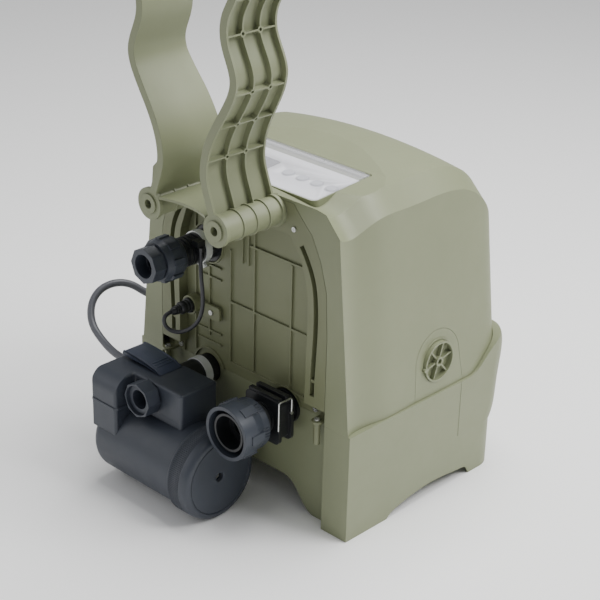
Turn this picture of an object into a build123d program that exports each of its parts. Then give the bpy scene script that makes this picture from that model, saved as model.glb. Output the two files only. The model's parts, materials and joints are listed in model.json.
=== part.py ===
"""Pump, heater and filter unit for a portable hot tub.

Frame: +Z up, floor at z = 0, and x = 0 is the middle plane of the housing.  The pieces are
drawn about a working origin inside the housing, and save() moves each one ORIGIN_SHIFT
along Y, so that the origin of the finished files is under the middle of the whole unit.
The connectors leave the rear face towards -Y.
"""
import os
from math import cos, pi, radians, sin, sqrt, tan

from build123d import *

os.makedirs("parts", exist_ok=True)

# ---------------------------------------------------------------- driving dimensions (mm)
WALL = 3.0                 # moulded wall of the housing
GAP = 0.5                  # space between housing parts that do not move
ORIGIN_SHIFT = 50.4        # from the drawing's origin to the middle of the unit's plan
PORT_END = -110.0          # inner ends of the three ports
RUN = 0.3                  # space beside a moving face
FIT = 0.1                  # radial clearance of a pin in its bore

REAR_Y = -165.0            # rear face of the housing
PANEL_Y = -147.0           # outer face of the recessed rear panel
FRONT_Y = 213.5            # front of the cover
SEAM_Z = 185.0             # joint between base and cover
BASE_X = 237.0             # half width of the base
BASE_FRONT = 208.0         # front of the base
CORNER_R = 42.0            # front corners, seen from above
RECESS_X = 184.0           # half width of the recess in the rear face
FLOOR_Z = 52.0             # underside of the base's floor plate

HINGE_X = 71.4             # arm hinges: distance from the middle plane
HINGE_Z = 505.0
ARM_NEAR = -286.0          # end of the arms away from the housing
ARM_FAR = -166.5           # end of the arms beside the housing
EAR_R = 25.0
BARREL_R = 22.0
PIN_R = 11.0

PORT_X = 88.0              # half distance between the two lower ports
PORT_Z = 176.0
UPPER_X = -90.0            # upper port
UPPER_Z = 396.0

CAN_Y = -256.0             # filter canister: its axis runs along X
CAN_R = 69.0
CAP_R = 74.0
CAN_Z = CAP_R              # the canister lies on the floor
CAN_LEFT = -178.0
CAP_FACE = 52.0

HATCH_Y = 46.0             # centre of the hatch and of its turning cap
CAP_HOLE_Z = 238.0


def save(piece, name):
    """Label a finished piece and write it as its own STEP file, with the origin under the middle."""
    placed = Pos(0, ORIGIN_SHIFT, 0) * piece
    placed.label = name
    export_step(placed, f"parts/{name}.step")


def at_y(y):
    """Drawing plane square to Y: its x is X and its y is Z."""
    return Plane.XZ.offset(-y)


def at_x(x):
    """Drawing plane square to X: its x is Y and its y is Z."""
    return Plane.YZ.offset(x)


def y_disc(x, z, r, y0, y1):
    """Round bar along Y, as a private solid."""
    return Pos(x, (y0 + y1) / 2, z) * Rot(90, 0, 0) * Cylinder(r, abs(y1 - y0), mode=Mode.PRIVATE)


def x_disc(y, z, r, x0, x1):
    """Round bar along X, as a private solid."""
    return Pos((x0 + x1) / 2, y, z) * Rot(0, 90, 0) * Cylinder(r, abs(x1 - x0), mode=Mode.PRIVATE)


def block(x0, x1, y0, y1, z0, z1):
    """Plain box between two corners, as a private solid."""
    middle = Pos((x0 + x1) / 2, (y0 + y1) / 2, (z0 + z1) / 2)
    return middle * Box(x1 - x0, y1 - y0, z1 - z0, mode=Mode.PRIVATE)


# ---------------------------------------------------------------- housing: cover outline
TOP_Z = 541.0              # ridge of the cover at its rear face
TOP_RISE = 12.0            # how much higher the ridge is at its highest point
TOP_Y = 50.0               # where the highest point is
FRONT_DROP = 227.0         # fall of the ridge down to the front
FRONT_POWER = 2.6          # squareness of that fall


def ridge(y):
    """Height of the ridge above its height at the rear face."""
    if y <= TOP_Y:
        return TOP_RISE * (1 - ((TOP_Y - y) / (TOP_Y - REAR_Y)) ** 2)
    u = min((y - TOP_Y) / (FRONT_Y + 0.5 - TOP_Y), 1.0)
    return TOP_RISE - FRONT_DROP * (1 - (1 - u ** FRONT_POWER) ** (1 / FRONT_POWER))


def side_inset(y):
    """How far the sides draw in where the front corners are rounded."""
    into = y - (FRONT_Y + 0.5 - CORNER_R)
    return 0.0 if into <= 0 else CORNER_R - sqrt(CORNER_R ** 2 - into ** 2)


def cover_solid(shrink):
    """The cover's outer volume, drawn in by shrink all round."""
    stations = [REAR_Y, -90, -20, 50, 100, 135, 160, 178, 192, 202, 209, FRONT_Y]
    sections = []
    for y in stations:
        k = (TOP_Z + ridge(y) - SEAM_Z) / (TOP_Z - SEAM_Z)
        dx = side_inset(y) + shrink
        y_here = REAR_Y + shrink if y == REAR_Y else y - shrink * (y - REAR_Y) / (FRONT_Y - REAR_Y)
        low = SEAM_Z - 2
        kink_z = SEAM_Z + (307 - SEAM_Z) * k
        shoulder_z = SEAM_Z + (497 - SEAM_Z) * k - shrink * 0.5
        edge_z = SEAM_Z + (527 - SEAM_Z) * k - shrink
        with BuildSketch(at_y(y_here)) as section:
            with BuildLine():
                right = Polyline((0, low), (233 - dx, low), (221 - dx, kink_z),
                                 (202 - dx, shoulder_z), (174 - dx, edge_z))
                left = Polyline((-174 + dx, edge_z), (-202 + dx, shoulder_z),
                                (-221 + dx, kink_z), (-233 + dx, low), (0, low))
                ThreePointArc(right @ 1, (0, SEAM_Z + (TOP_Z - SEAM_Z) * k - shrink), left @ 0)
            make_face()
        sections.append(section.sketch)
    body = loft(sections, mode=Mode.PRIVATE)
    if shrink > 0:
        return body
    return body - block(-BASE_X - 5, BASE_X + 5, REAR_Y - 5, FRONT_Y + 5, SEAM_Z - 5, SEAM_Z)


# the lid's own plane, and the flat land cut into the cover round it
LID_HALF = 132.0           # half width of the clear lid
LID_DEEP = 124.0
LID_NEAR_Y = -146.0
LID_NEAR_Z = 532.5
LID_TILT = 4.0             # degrees, rising towards the front
LAND_DROP = 1.5            # the land is this much below the lid's top face
LAND_END_Y = -14.0
RAMP_END_Y = 46.0
RECESS_TOP = 526.0         # top of the opening in the cover's rear face
FRAME_TOP = 525.5
lid_plane = Plane(origin=(0, LID_NEAR_Y, LID_NEAR_Z), x_dir=(1, 0, 0),
                  z_dir=(0, -sin(radians(LID_TILT)), cos(radians(LID_TILT))))


def above_land(drop):
    """Everything above the land and the ramp in front of it, lowered by drop."""
    heights = [LID_NEAR_Z + (y - LID_NEAR_Y) * tan(radians(LID_TILT)) - LAND_DROP - drop
               for y in (REAR_Y - 5, LAND_END_Y)]
    with BuildSketch(at_x(-BASE_X)) as outline:
        with BuildLine():
            Polyline((REAR_Y - 5, heights[0]), (LAND_END_Y, heights[1]),
                     (RAMP_END_Y, TOP_Z + TOP_RISE + 1 - drop), (RAMP_END_Y, 620), (REAR_Y - 5, 620),
                     close=True)
        make_face()
    return extrude(outline.sketch, amount=2 * BASE_X, mode=Mode.PRIVATE)


cover_outer = cover_solid(0.0) - above_land(0)
cover_inner = cover_solid(WALL) - above_land(WALL)
print("cover volume", round(cover_outer.volume / 1e6, 2), "litres")


def arch(side_x, top_z, low_z):
    """Arched outline of the rear opening, made to fit inside the cover's shoulders."""
    points = [(side_x, low_z), (side_x, 330), (side_x - 4, 405), (side_x - 17, 450),
              (side_x - 36, 487), (side_x - 62, 512), (side_x - 74, top_z), (0, top_z)]
    right = points
    left = [(-x, z) for x, z in reversed(points[:-1])]
    with BuildSketch(Plane.XZ) as outline:
        with BuildLine():
            Polyline(*right, *left, close=True)
        make_face()
    return outline.sketch


def arch_prism(side_x, top_z, low_z, y0, y1):
    """The arched outline as a solid between two values of y."""
    return Pos(0, y1, 0) * extrude(arch(side_x, top_z, low_z), amount=y1 - y0, mode=Mode.PRIVATE)


# ---------------------------------------------------------------- side hatch outline
HATCH_R = 53.0             # radius of the arched top of the hatch


def hatch_prism(shrink):
    """The hatch's arched outline, as a solid that runs out through the +X side."""
    r = HATCH_R - shrink
    low = SEAM_Z - 2 + shrink
    with BuildSketch(at_x(190)) as outline:
        with BuildLine():
            Line((HATCH_Y - r, CAP_HOLE_Z), (HATCH_Y - r - 4, low))
            Line((HATCH_Y - r - 4, low), (HATCH_Y + r + 8, low))
            Line((HATCH_Y + r + 8, low), (HATCH_Y + r, CAP_HOLE_Z))
            CenterArc((HATCH_Y, CAP_HOLE_Z), r, 0, 180)
        make_face()
    return extrude(outline.sketch, amount=60, mode=Mode.PRIVATE)


# ---------------------------------------------------------------- control panel recess
def lid_prism(margin, low, high, corner=8.0):
    """Rounded slab on the lid's own tilted plane."""
    with BuildSketch(lid_plane.offset(low)) as outline:
        with Locations((0, LID_DEEP / 2)):
            RectangleRounded(2 * (LID_HALF + margin), LID_DEEP + 2 * margin, corner)
    return extrude(outline.sketch, amount=high - low, mode=Mode.PRIVATE)


# ---------------------------------------------------------------- cover
with BuildPart() as cover_shell:
    add(cover_outer)
    add(cover_inner, mode=Mode.SUBTRACT)
    add(arch_prism(RECESS_X, RECESS_TOP, SEAM_Z - 5, REAR_Y - 1, REAR_Y + 5), mode=Mode.SUBTRACT)
    add(lid_prism(2.5, -30, 40), mode=Mode.SUBTRACT)
    add(hatch_prism(0), mode=Mode.SUBTRACT)
save(cover_shell.part, "cover_shell")

# ---------------------------------------------------------------- base
CAVITY_TOP = SEAM_Z + 1
LEDGE_Z = 179.0            # underside of the ledge that carries the cover
LEDGE_WIDE = 16.0


def base_outline(shrink, level):
    """Plan of the base, with its rear recess, drawn in by shrink."""
    x = BASE_X - shrink
    front = BASE_FRONT - shrink
    r = CORNER_R - shrink
    step_x = RECESS_X + shrink
    with BuildSketch(Plane.XY.offset(level)) as plan:
        with BuildLine():
            Polyline((-x, front - r), (-x, REAR_Y + shrink), (-step_x, REAR_Y + shrink),
                     (-step_x, PANEL_Y + shrink), (step_x, PANEL_Y + shrink),
                     (step_x, REAR_Y + shrink), (x, REAR_Y + shrink), (x, front - r))
            CenterArc((x - r, front - r), r, 0, 90)
            Line((x - r, front), (-x + r, front))
            CenterArc((-x + r, front - r), r, 90, 90)
        make_face()
    return plan.sketch


def apron_section(level, reach):
    """Plan of the front apron at one height."""
    r = CORNER_R
    x = BASE_X + 0.5
    with BuildSketch(Plane.XY.offset(level)) as plan:
        with BuildLine():
            Polyline((x, reach - r), (x, 100), (-x, 100), (-x, reach - r))
            CenterArc((-x + r, reach - r), r, 90, 90)
            Line((-x + r, reach), (x - r, reach))
            CenterArc((x - r, reach - r), r, 0, 90)
        make_face()
    return plan.sketch


with BuildPart() as apron:
    loft([apron_section(z, y) for z, y in
          ((84, 208.5), (104, 217), (150, 222), (205, 229), (228, 227), (244, 218))])
    with BuildSketch(Plane.YZ.offset(-260)) as above_edge:
        with BuildLine():
            Line((90, SEAM_Z), (118, SEAM_Z))
            Spline((118, SEAM_Z), (150, 198), (185, 226), (212, 240), (240, 243),
                   tangents=((1, 0), (1, 0)))
            Polyline((240, 243), (240, 300), (90, 300), (90, SEAM_Z))
        make_face()
    extrude(amount=520, mode=Mode.SUBTRACT)

with BuildPart() as base_shell:
    add(base_outline(0, 0))
    extrude(amount=SEAM_Z)
    add(apron.part)
    add(cover_solid(-GAP), mode=Mode.SUBTRACT)
    add(base_outline(WALL, FLOOR_Z + WALL))
    extrude(amount=LEDGE_Z - FLOOR_Z - WALL, mode=Mode.SUBTRACT)
    add(base_outline(LEDGE_WIDE, LEDGE_Z - 1))
    extrude(amount=CAVITY_TOP - LEDGE_Z + 1, mode=Mode.SUBTRACT)
    add(base_outline(WALL, -1))
    extrude(amount=FLOOR_Z + 1, mode=Mode.SUBTRACT)
    # arched openings between the feet: both sides, rear and front
    with BuildSketch(Plane.YZ.offset(-260)) as side_arch:
        with BuildLine():
            Spline((-70, -1), (-42, 13), (5, 21), (60, 22), (112, 17), (136, -1),
                   tangents=((1, 1.4), (1, -3)))
            Line((136, -1), (-70, -1))
        make_face()
    extrude(amount=520, mode=Mode.SUBTRACT)
    with BuildSketch(at_y(REAR_Y - 1)) as rear_arch:
        with BuildLine():
            Spline((150, -1), (124, 18), (104, 42), (78, 50), tangents=((-1, 0.3), (-1, 0.05)))
            Line((78, 50), (-78, 50))
            Spline((-78, 50), (-104, 42), (-124, 18), (-150, -1), tangents=((-1, -0.05), (-1, -0.3)))
            Line((-150, -1), (150, -1))
        make_face()
    extrude(amount=-40, mode=Mode.SUBTRACT)
    with BuildSketch(at_y(190)) as front_arch:
        with BuildLine():
            Spline((165, -1), (140, 14), (90, 20), (0, 22), (-90, 20), (-140, 14), (-165, -1))
            Line((-165, -1), (165, -1))
        make_face()
    extrude(amount=-40, mode=Mode.SUBTRACT)
    # lower halves of the two ports' holes in the recessed rear wall
    for x in (-PORT_X, PORT_X):
        add(y_disc(x, PORT_Z, 24, PANEL_Y - 1, PANEL_Y + LEDGE_WIDE + 1), mode=Mode.SUBTRACT)
save(base_shell.part, "base_shell")
print("base", round(base_shell.part.volume / 1e3), "cm3")

# ---------------------------------------------------------------- side hatch and its cap
CAP_OUT_R = 34.0
CAP_OUT_X = 232.5
with BuildPart() as side_hatch:
    add(cover_outer)
    add(cover_inner, mode=Mode.SUBTRACT)
    add(hatch_prism(GAP), mode=Mode.INTERSECT)
    add(x_disc(HATCH_Y, CAP_HOLE_Z, CAP_OUT_R + GAP, 200, 250), mode=Mode.SUBTRACT)
    with BuildSketch(at_x(212)) as collar:
        with Locations((HATCH_Y, CAP_HOLE_Z)):
            Circle(CAP_OUT_R + 4)
            Circle(CAP_OUT_R + GAP, mode=Mode.SUBTRACT)
    extrude(amount=14)
    with BuildSketch(at_x(209)) as collar_floor:
        with Locations((HATCH_Y, CAP_HOLE_Z)):
            Circle(CAP_OUT_R + 4)
            Circle(12, mode=Mode.SUBTRACT)
    extrude(amount=3)
save(side_hatch.part, "side_hatch")

with BuildPart() as access_cap:
    with BuildSketch(at_x(215)) as disc:
        with Locations((HATCH_Y, CAP_HOLE_Z)):
            Circle(CAP_OUT_R)
    extrude(amount=8)
    with BuildSketch(at_x(223)) as rim:
        with Locations((HATCH_Y, CAP_HOLE_Z)):
            Circle(CAP_OUT_R)
            Circle(CAP_OUT_R - 3, mode=Mode.SUBTRACT)
            Circle(8)
    extrude(amount=CAP_OUT_X - 223)
    with BuildSketch(at_x(223)) as spokes:
        with Locations((HATCH_Y, CAP_HOLE_Z)):
            with PolarLocations(CAP_OUT_R / 2, 6, start_angle=12):
                Rectangle(CAP_OUT_R - 2, 2.6)
    extrude(amount=7)
    with BuildSketch(at_x(226)) as key_hole:
        with Locations((HATCH_Y, CAP_HOLE_Z)):
            RegularPolygon(4.8, 6)
    extrude(amount=12, mode=Mode.SUBTRACT)
    with BuildSketch(at_x(229)) as pointer:
        with Locations((HATCH_Y - CAP_OUT_R + 1, CAP_HOLE_Z - 4)):
            SlotOverall(10, 6)
    extrude(amount=4.5)
    # bayonet stub behind the disc
    with BuildSketch(at_x(205)) as stub:
        with Locations((HATCH_Y, CAP_HOLE_Z)):
            Circle(11.6)
            Circle(8, mode=Mode.SUBTRACT)
    extrude(amount=10)
save(access_cap.part, "access_cap")

# ---------------------------------------------------------------- rear frame and panel
FRAME_X = 183.2            # outer edge of the frame
FRAME_LOW = 208.0
SLOT_LOW = 225.0
BAR_Z = 250.0
FRAME_SCREW_X = 112.0
FRAME_SCREW_Z = 486.0


def slot_path(side):
    """Middle line of the curved slot on one side."""
    points = [(156, SLOT_LOW), (158, 290), (160, 340), (158.5, 385), (153, 415), (140, 444), (127, 464)]
    return [(side * x, z) for x, z in points]


with BuildPart() as rear_frame:
    add(arch_prism(FRAME_X, FRAME_TOP, FRAME_LOW, REAR_Y, PANEL_Y))
    # inner edge of the band
    with BuildSketch(at_y(REAR_Y - 1)) as inner_edge:
        with BuildLine():
            Polyline((140, SEAM_Z), (142, 300), (143, 375), (137, 412), (124, 448), (102, 474),
                     (-102, 474), (-124, 448), (-137, 412), (-143, 375), (-142, 300),
                     (-140, SEAM_Z), close=True)
        make_face()
    extrude(amount=-(PANEL_Y - REAR_Y + 2), mode=Mode.SUBTRACT)
    for side in (-1, 1):
        with BuildSketch(at_y(REAR_Y - 1)) as slot:
            with BuildLine() as middle:
                Spline(*slot_path(side))
            trace(line_width=9)
        extrude(amount=-(PANEL_Y - REAR_Y + 2), mode=Mode.SUBTRACT)
        add(block(side * 157 - 6, side * 157 + 6, REAR_Y + 2, PANEL_Y, BAR_Z - 2.5, BAR_Z + 2.5))
        # boss that holds the arm's hinge pin
        add(y_disc(side * HINGE_X, HINGE_Z, EAR_R, REAR_Y - 1, PANEL_Y))
        add(y_disc(side * HINGE_X, HINGE_Z, PIN_R, REAR_Y - 2, PANEL_Y + 1), mode=Mode.SUBTRACT)
        add(y_disc(side * FRAME_SCREW_X, FRAME_SCREW_Z, 1.8, REAR_Y - 1, PANEL_Y - 4), mode=Mode.SUBTRACT)
    add(cover_shell.part, mode=Mode.SUBTRACT)
    add(lid_prism(2.5, -16, 40), mode=Mode.SUBTRACT)
save(rear_frame.solids().sort_by(SortBy.VOLUME)[-1], "rear_frame")

PANEL_T = 3.0
RIB = 3.4
with BuildPart() as rear_panel:
    add(arch_prism(RECESS_X + 5, RECESS_TOP, SEAM_Z + GAP, PANEL_Y, PANEL_Y + PANEL_T))
    # raised ribs on the outer face, right part and left part
    for x0, x1, z0, z1 in ((-41, -37.5, 205, 400), (12, 15.5, 208, 470), (92, 95.5, 206, 418),
                           (4, 136, 418.5, 422), (-38, 138, 309.5, 313), (-38, 128, 202.5, 206),
                           (-89, -86, 235, 372), (-15, -11, 386, 472), (-2, 2, 386, 472),
                           (-121, -118, 200, 470)):
        add(block(x0, x1, PANEL_Y - RIB, PANEL_Y + 1, z0, z1))
    for z in (224, 243, 338, 358):
        add(block(-114, -60, PANEL_Y - RIB, PANEL_Y + 1, z, z + 3))
    # raised rims round the three ports
    for x, z, r in ((UPPER_X, UPPER_Z, 34), (-PORT_X, PORT_Z, 36), (PORT_X, PORT_Z, 33)):
        add(y_disc(x, z, r, PANEL_Y - RIB, PANEL_Y + 1))
        add(y_disc(x, z, r - 2.4, PANEL_Y - RIB - 1, PANEL_Y), mode=Mode.SUBTRACT)
        add(y_disc(x, z, 24, PANEL_Y - 5, PANEL_Y + 5), mode=Mode.SUBTRACT)
    add(block(-250, 250, PANEL_Y - 10, PANEL_Y + 10, 100, SEAM_Z + GAP), mode=Mode.SUBTRACT)
    for side in (-1, 1):
        add(y_disc(side * HINGE_X, HINGE_Z, PIN_R, PANEL_Y - 1, PANEL_Y + 5), mode=Mode.SUBTRACT)
    add(rear_frame.part, mode=Mode.SUBTRACT)
    add(lid_prism(2.5, -16, 40), mode=Mode.SUBTRACT)
save(rear_panel.part, "rear_panel")

# ---------------------------------------------------------------- shelf between the arms
SHELF_HALF = 50.0
SHELF_TOP = 522.0
with BuildPart() as arm_shelf:
    with BuildSketch(Plane.XY.offset(SHELF_TOP - 4)) as plate:
        with BuildLine():
            Polyline((SHELF_HALF, ARM_NEAR), (SHELF_HALF, REAR_Y), (-SHELF_HALF, REAR_Y),
                     (-SHELF_HALF, ARM_NEAR))
            ThreePointArc((-SHELF_HALF, ARM_NEAR), (0, ARM_NEAR + 9), (SHELF_HALF, ARM_NEAR))
        make_face()
    extrude(amount=4)
    # webs under the plate
    for x in (-30, 0, 30):
        with BuildSketch(at_x(x - 1.5)) as web:
            with BuildLine():
                Polyline((REAR_Y, SHELF_TOP - 3), (ARM_NEAR + 24, SHELF_TOP - 3),
                         (REAR_Y, SHELF_TOP - 30), close=True)
            make_face()
        extrude(amount=3)
    add(block(-44, 44, REAR_Y - 4, REAR_Y, SHELF_TOP - 34, SHELF_TOP - 1))
save(arm_shelf.part, "arm_shelf")

# ---------------------------------------------------------------- folding arms
SHEET = 3.5                # thickness of an arm's curved sheet
RIM = 13.0                 # depth of the rim on the sheet's outer side
RIM_T = 4.0
RIB_H = 9.0
RIB_T = 2.6
# the wavy inner face of the right arm, as (x, z) from the hinge up to the tip
WAVE = [(57, 521), (46, 553), (39.5, 577), (41, 605), (58.6, 651), (87.7, 699), (99.4, 733),
        (90, 761), (80, 790), (83, 822), (97, 850), (104, 876), (99, 903)]
# the far edge of the arm, as (y, z)
FAR_EDGE = [(ARM_FAR, 480), (ARM_FAR, 560), (-169, 606), (-176, 663), (-185, 717), (-189, 789),
            (-190, 905)]


def wave_offset(depth):
    """The wave's points moved outwards, square to the sheet."""
    moved = []
    for i, (x, z) in enumerate(WAVE):
        x0, z0 = WAVE[max(i - 1, 0)]
        x1, z1 = WAVE[min(i + 1, len(WAVE) - 1)]
        length = sqrt((x1 - x0) ** 2 + (z1 - z0) ** 2)
        moved.append((x + depth * (z1 - z0) / length, z - depth * (x1 - x0) / length))
    return moved


def wave_slab(low, high):
    """The sheet's profile between two depths, as wide as the arm."""
    inner = wave_offset(low)
    outer = wave_offset(high)
    with BuildSketch(at_y(ARM_FAR + 4)) as profile:
        with BuildLine():
            up = Spline(*inner)
            down = Spline(*reversed(outer))
            Line(up @ 1, down @ 0)
            Line(down @ 1, up @ 0)
        make_face()
    return extrude(profile.sketch, amount=ARM_FAR - ARM_NEAR + 8, mode=Mode.PRIVATE)


def side_view(margin):
    """The arm's outline seen along X, drawn in by margin, as a solid."""
    far = [(y - margin, z) for y, z in FAR_EDGE[:-1]]
    tip = FAR_EDGE[-1][1] - margin
    far_tip = (FAR_EDGE[-1][0] - margin, tip)
    near = ARM_NEAR + margin
    with BuildSketch(Plane.YZ) as outline:
        with BuildLine():
            Polyline((near, 480), *far, far_tip, (near, tip), close=True)
        make_face()
        top_corners = outline.vertices().group_by(Axis.Y)[-1]
        fillet(top_corners, radius=26 - margin)
    return extrude(outline.sketch, amount=140, mode=Mode.PRIVATE)


def wave_frame(z):
    """Point on the wave near height z, and the sheet's tilt there in degrees."""
    for (x0, z0), (x1, z1) in zip(WAVE, WAVE[1:]):
        if z0 <= z <= z1:
            t = (z - z0) / (z1 - z0)
            return x0 + t * (x1 - x0), (x1 - x0) / (z1 - z0)
    raise ValueError(z)


CROSS_Z = [606, 663, 717, 789, 850]
LONG_RIBS = [((-243, 480), (-245, 606), (-254, 789), (-256, 905)),
             ((-206, 480), (-208, 606), (-221, 789), (-224, 905))]


def rib_y(rib, z):
    """Where a lengthwise rib is at height z."""
    for (y0, z0), (y1, z1) in zip(rib, rib[1:]):
        if z0 <= z <= z1:
            return y0 + (z - z0) / (z1 - z0) * (y1 - y0)
    raise ValueError(z)


with BuildPart() as right_arm:
    # sheet with its rim: a thick slab with a pocket on the outer side
    add(wave_slab(0, RIM))
    add(side_view(0), mode=Mode.INTERSECT)
    pocket = wave_slab(SHEET, RIM + 8) & side_view(RIM_T)
    add(pocket, mode=Mode.SUBTRACT)
    # lengthwise and cross ribs inside the pocket
    rib_zone = wave_slab(SHEET - 1, SHEET + RIB_H) & side_view(1)
    for rib in LONG_RIBS:
        with BuildSketch(Plane.YZ, mode=Mode.PRIVATE) as rib_outline:
            with BuildLine():
                Polyline(*[(y - RIB_T / 2, z) for y, z in rib],
                         *[(y + RIB_T / 2, z) for y, z in reversed(rib)], close=True)
            make_face()
        strip = extrude(rib_outline.sketch, amount=140, mode=Mode.PRIVATE)
        add(strip & rib_zone)
    for z in CROSS_Z:
        x, slope = wave_frame(z)
        tilt = -slope * 57.3 * 0.8
        cross = Pos(x, (ARM_NEAR + ARM_FAR) / 2, z) * Rot(0, -tilt, 0)
        add((cross * Box(70, 140, RIB_T, mode=Mode.PRIVATE)) & rib_zone)
        for rib in LONG_RIBS:
            spot = Pos(x, rib_y(rib, z), z) * Rot(0, 90 - tilt, 0)
            add((spot * Cylinder(5, 60, mode=Mode.PRIVATE)) & rib_zone)
            add((spot * Pos(0, 0, 20) * Cylinder(2.4, 30, mode=Mode.PRIVATE)) & rib_zone, mode=Mode.SUBTRACT)
    # hinge barrel with its ears and ring ribs
    add(y_disc(HINGE_X, HINGE_Z, BARREL_R, ARM_NEAR, ARM_FAR))
    add(y_disc(HINGE_X, HINGE_Z, EAR_R, ARM_NEAR, ARM_NEAR + 6))
    add(y_disc(HINGE_X, HINGE_Z, EAR_R, ARM_FAR - 6, ARM_FAR))
    for y in (-249, -222, -196):
        add(y_disc(HINGE_X, HINGE_Z, BARREL_R + 2, y - 1.5, y + 1.5))
    add(y_disc(HINGE_X, HINGE_Z, PIN_R + FIT, ARM_NEAR - 5, ARM_FAR + 5), mode=Mode.SUBTRACT)
save(right_arm.part, "arm_right")

left_arm = mirror(right_arm.part, about=Plane.YZ)
save(left_arm, "arm_left")
print("arm", round(right_arm.part.volume / 1e3), "cm3")

PIN_FLANGE = 15.5
for side, name in ((-1, "hinge_pin_left"), (1, "hinge_pin_right")):
    with BuildPart() as hinge_pin:
        add(y_disc(side * HINGE_X, HINGE_Z, PIN_R, ARM_NEAR - 1, PANEL_Y + 6))
        add(y_disc(side * HINGE_X, HINGE_Z, PIN_FLANGE, ARM_NEAR - 2.5, ARM_NEAR - RUN))
        add(y_disc(side * HINGE_X, HINGE_Z, 7, ARM_NEAR - 5, PANEL_Y + 10), mode=Mode.SUBTRACT)
    save(hinge_pin.part, name)

# ---------------------------------------------------------------- control panel under the lid
FLOOR_IN = -11.5           # tray floor, below the lid's top face


def on_lid(x, y, z):
    """A place given in the lid's own tilted frame."""
    return lid_plane.location * Pos(x, y, z)


def lid_cylinder(x, y, r, low, high):
    """Round bar square to the lid."""
    return on_lid(x, y, (low + high) / 2) * Cylinder(r, high - low, mode=Mode.PRIVATE)


LID_PIN_Y = LID_DEEP - 4.5
LID_PIN_Z = -3.2
LID_ROD_R = 3.1
BUTTONS = [18, 48, 78, 108]
BUTTON_Y = 62.0
BUTTON_R = 9.0
BUTTON_TRAVEL = 1.5


def lid_rod(r, half_length):
    """Round bar along the lid's hinge."""
    return on_lid(0, LID_PIN_Y, LID_PIN_Z) * Rot(0, 90, 0) * Cylinder(r, 2 * half_length, mode=Mode.PRIVATE)


with BuildPart() as control_tray:
    add(lid_prism(2.4, FLOOR_IN - 2.5, -LAND_DROP, 10.4))
    add(lid_prism(0.6, FLOOR_IN, 5, 8.6), mode=Mode.SUBTRACT)
    for x in BUTTONS:
        add(lid_cylinder(x, BUTTON_Y, BUTTON_R + RUN, -20, 0), mode=Mode.SUBTRACT)
    add(lid_rod(LID_ROD_R + 2.5 * RUN, LID_HALF + 0.3), mode=Mode.SUBTRACT)
    add(lid_rod(1.2, 150), mode=Mode.SUBTRACT)
    for x in (-104, 0, 122):
        for y in (34, 90):
            add(lid_cylinder(x, y, 3, -22, FLOOR_IN - 1))
save(control_tray.part, "control_tray")

with BuildPart() as clear_lid:
    add(lid_prism(0, -9, 0))
    add(lid_prism(-2, -12, -2, 6), mode=Mode.SUBTRACT)
    hinge_zone = on_lid(0, LID_DEEP - 3, -5) * Box(300, 6, 30, mode=Mode.PRIVATE)
    add(hinge_zone, mode=Mode.SUBTRACT)
    add(on_lid(0, LID_DEEP - 4.6, -1) * Box(2 * LID_HALF - 22, 4.4, 2, mode=Mode.PRIVATE))
    add(lid_rod(LID_ROD_R, LID_HALF - 1))
    add(lid_rod(1.3, 150), mode=Mode.SUBTRACT)
save(clear_lid.part, "clear_lid")

with BuildPart() as lid_hinge_pin:
    add(lid_rod(1.2, LID_HALF + 1.8))
save(lid_hinge_pin.part, "lid_hinge_pin")

with BuildPart() as display_window:
    with BuildSketch(lid_plane.offset(FLOOR_IN)) as glass:
        with Locations((-62, BUTTON_Y)):
            RectangleRounded(86, 46, 8)
    extrude(amount=1.4)
save(display_window.part, "display_window")

for number, x in enumerate(BUTTONS, 1):
    with BuildPart() as button:
        add(lid_cylinder(x, BUTTON_Y, BUTTON_R, -16, -8))
        add(lid_cylinder(x, BUTTON_Y, BUTTON_R + 2, -15.9, FLOOR_IN - 2.5 - RUN))
        fillet(button.faces().sort_by(Axis.Z)[-1].edges(), radius=1)
    save(button.part, f"button_{number}")

with BuildPart() as control_board:
    add(on_lid(9, BUTTON_Y, -23) * Box(240, 70, 2, mode=Mode.PRIVATE))
    for x in BUTTONS:
        add(lid_cylinder(x, BUTTON_Y, 3, -22.2, -18.4))
save(control_board.part, "control_board")

# ---------------------------------------------------------------- upper port
with BuildPart() as air_port:
    add(y_disc(UPPER_X, UPPER_Z, 30, PANEL_Y - 3, PANEL_Y))
    add(y_disc(UPPER_X, UPPER_Z, 23.5, PORT_END, PANEL_Y))
    add(y_disc(UPPER_X, UPPER_Z, 25, -182, PANEL_Y))
    add(y_disc(UPPER_X, UPPER_Z, 21, -226, -180))
    for y in (-189, -197, -205):
        add(y_disc(UPPER_X, UPPER_Z, 24, y - 2, y + 2))
    add(y_disc(UPPER_X, UPPER_Z, 25.5, -236, -230))
    add(y_disc(UPPER_X, UPPER_Z, 21, -232, -224))
    add(y_disc(UPPER_X, UPPER_Z, 15, -240, PORT_END + 1), mode=Mode.SUBTRACT)
    # stub for the sensor
    add(block(-74, -60, -199, -184, UPPER_Z + 14, UPPER_Z + 24))
    add(y_disc(UPPER_X, UPPER_Z, 19, -205, -180), mode=Mode.SUBTRACT)
    add(y_disc(UPPER_X, UPPER_Z, 21, -205, -180))
    add(y_disc(UPPER_X, UPPER_Z, 15, -240, PORT_END + 1), mode=Mode.SUBTRACT)
save(air_port.part, "air_port")

with BuildPart() as sensor_stub:
    with Locations((-62, -192, UPPER_Z + 11)):
        Cylinder(5.5, 6)
save(sensor_stub.part, "sensor_stub")

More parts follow.
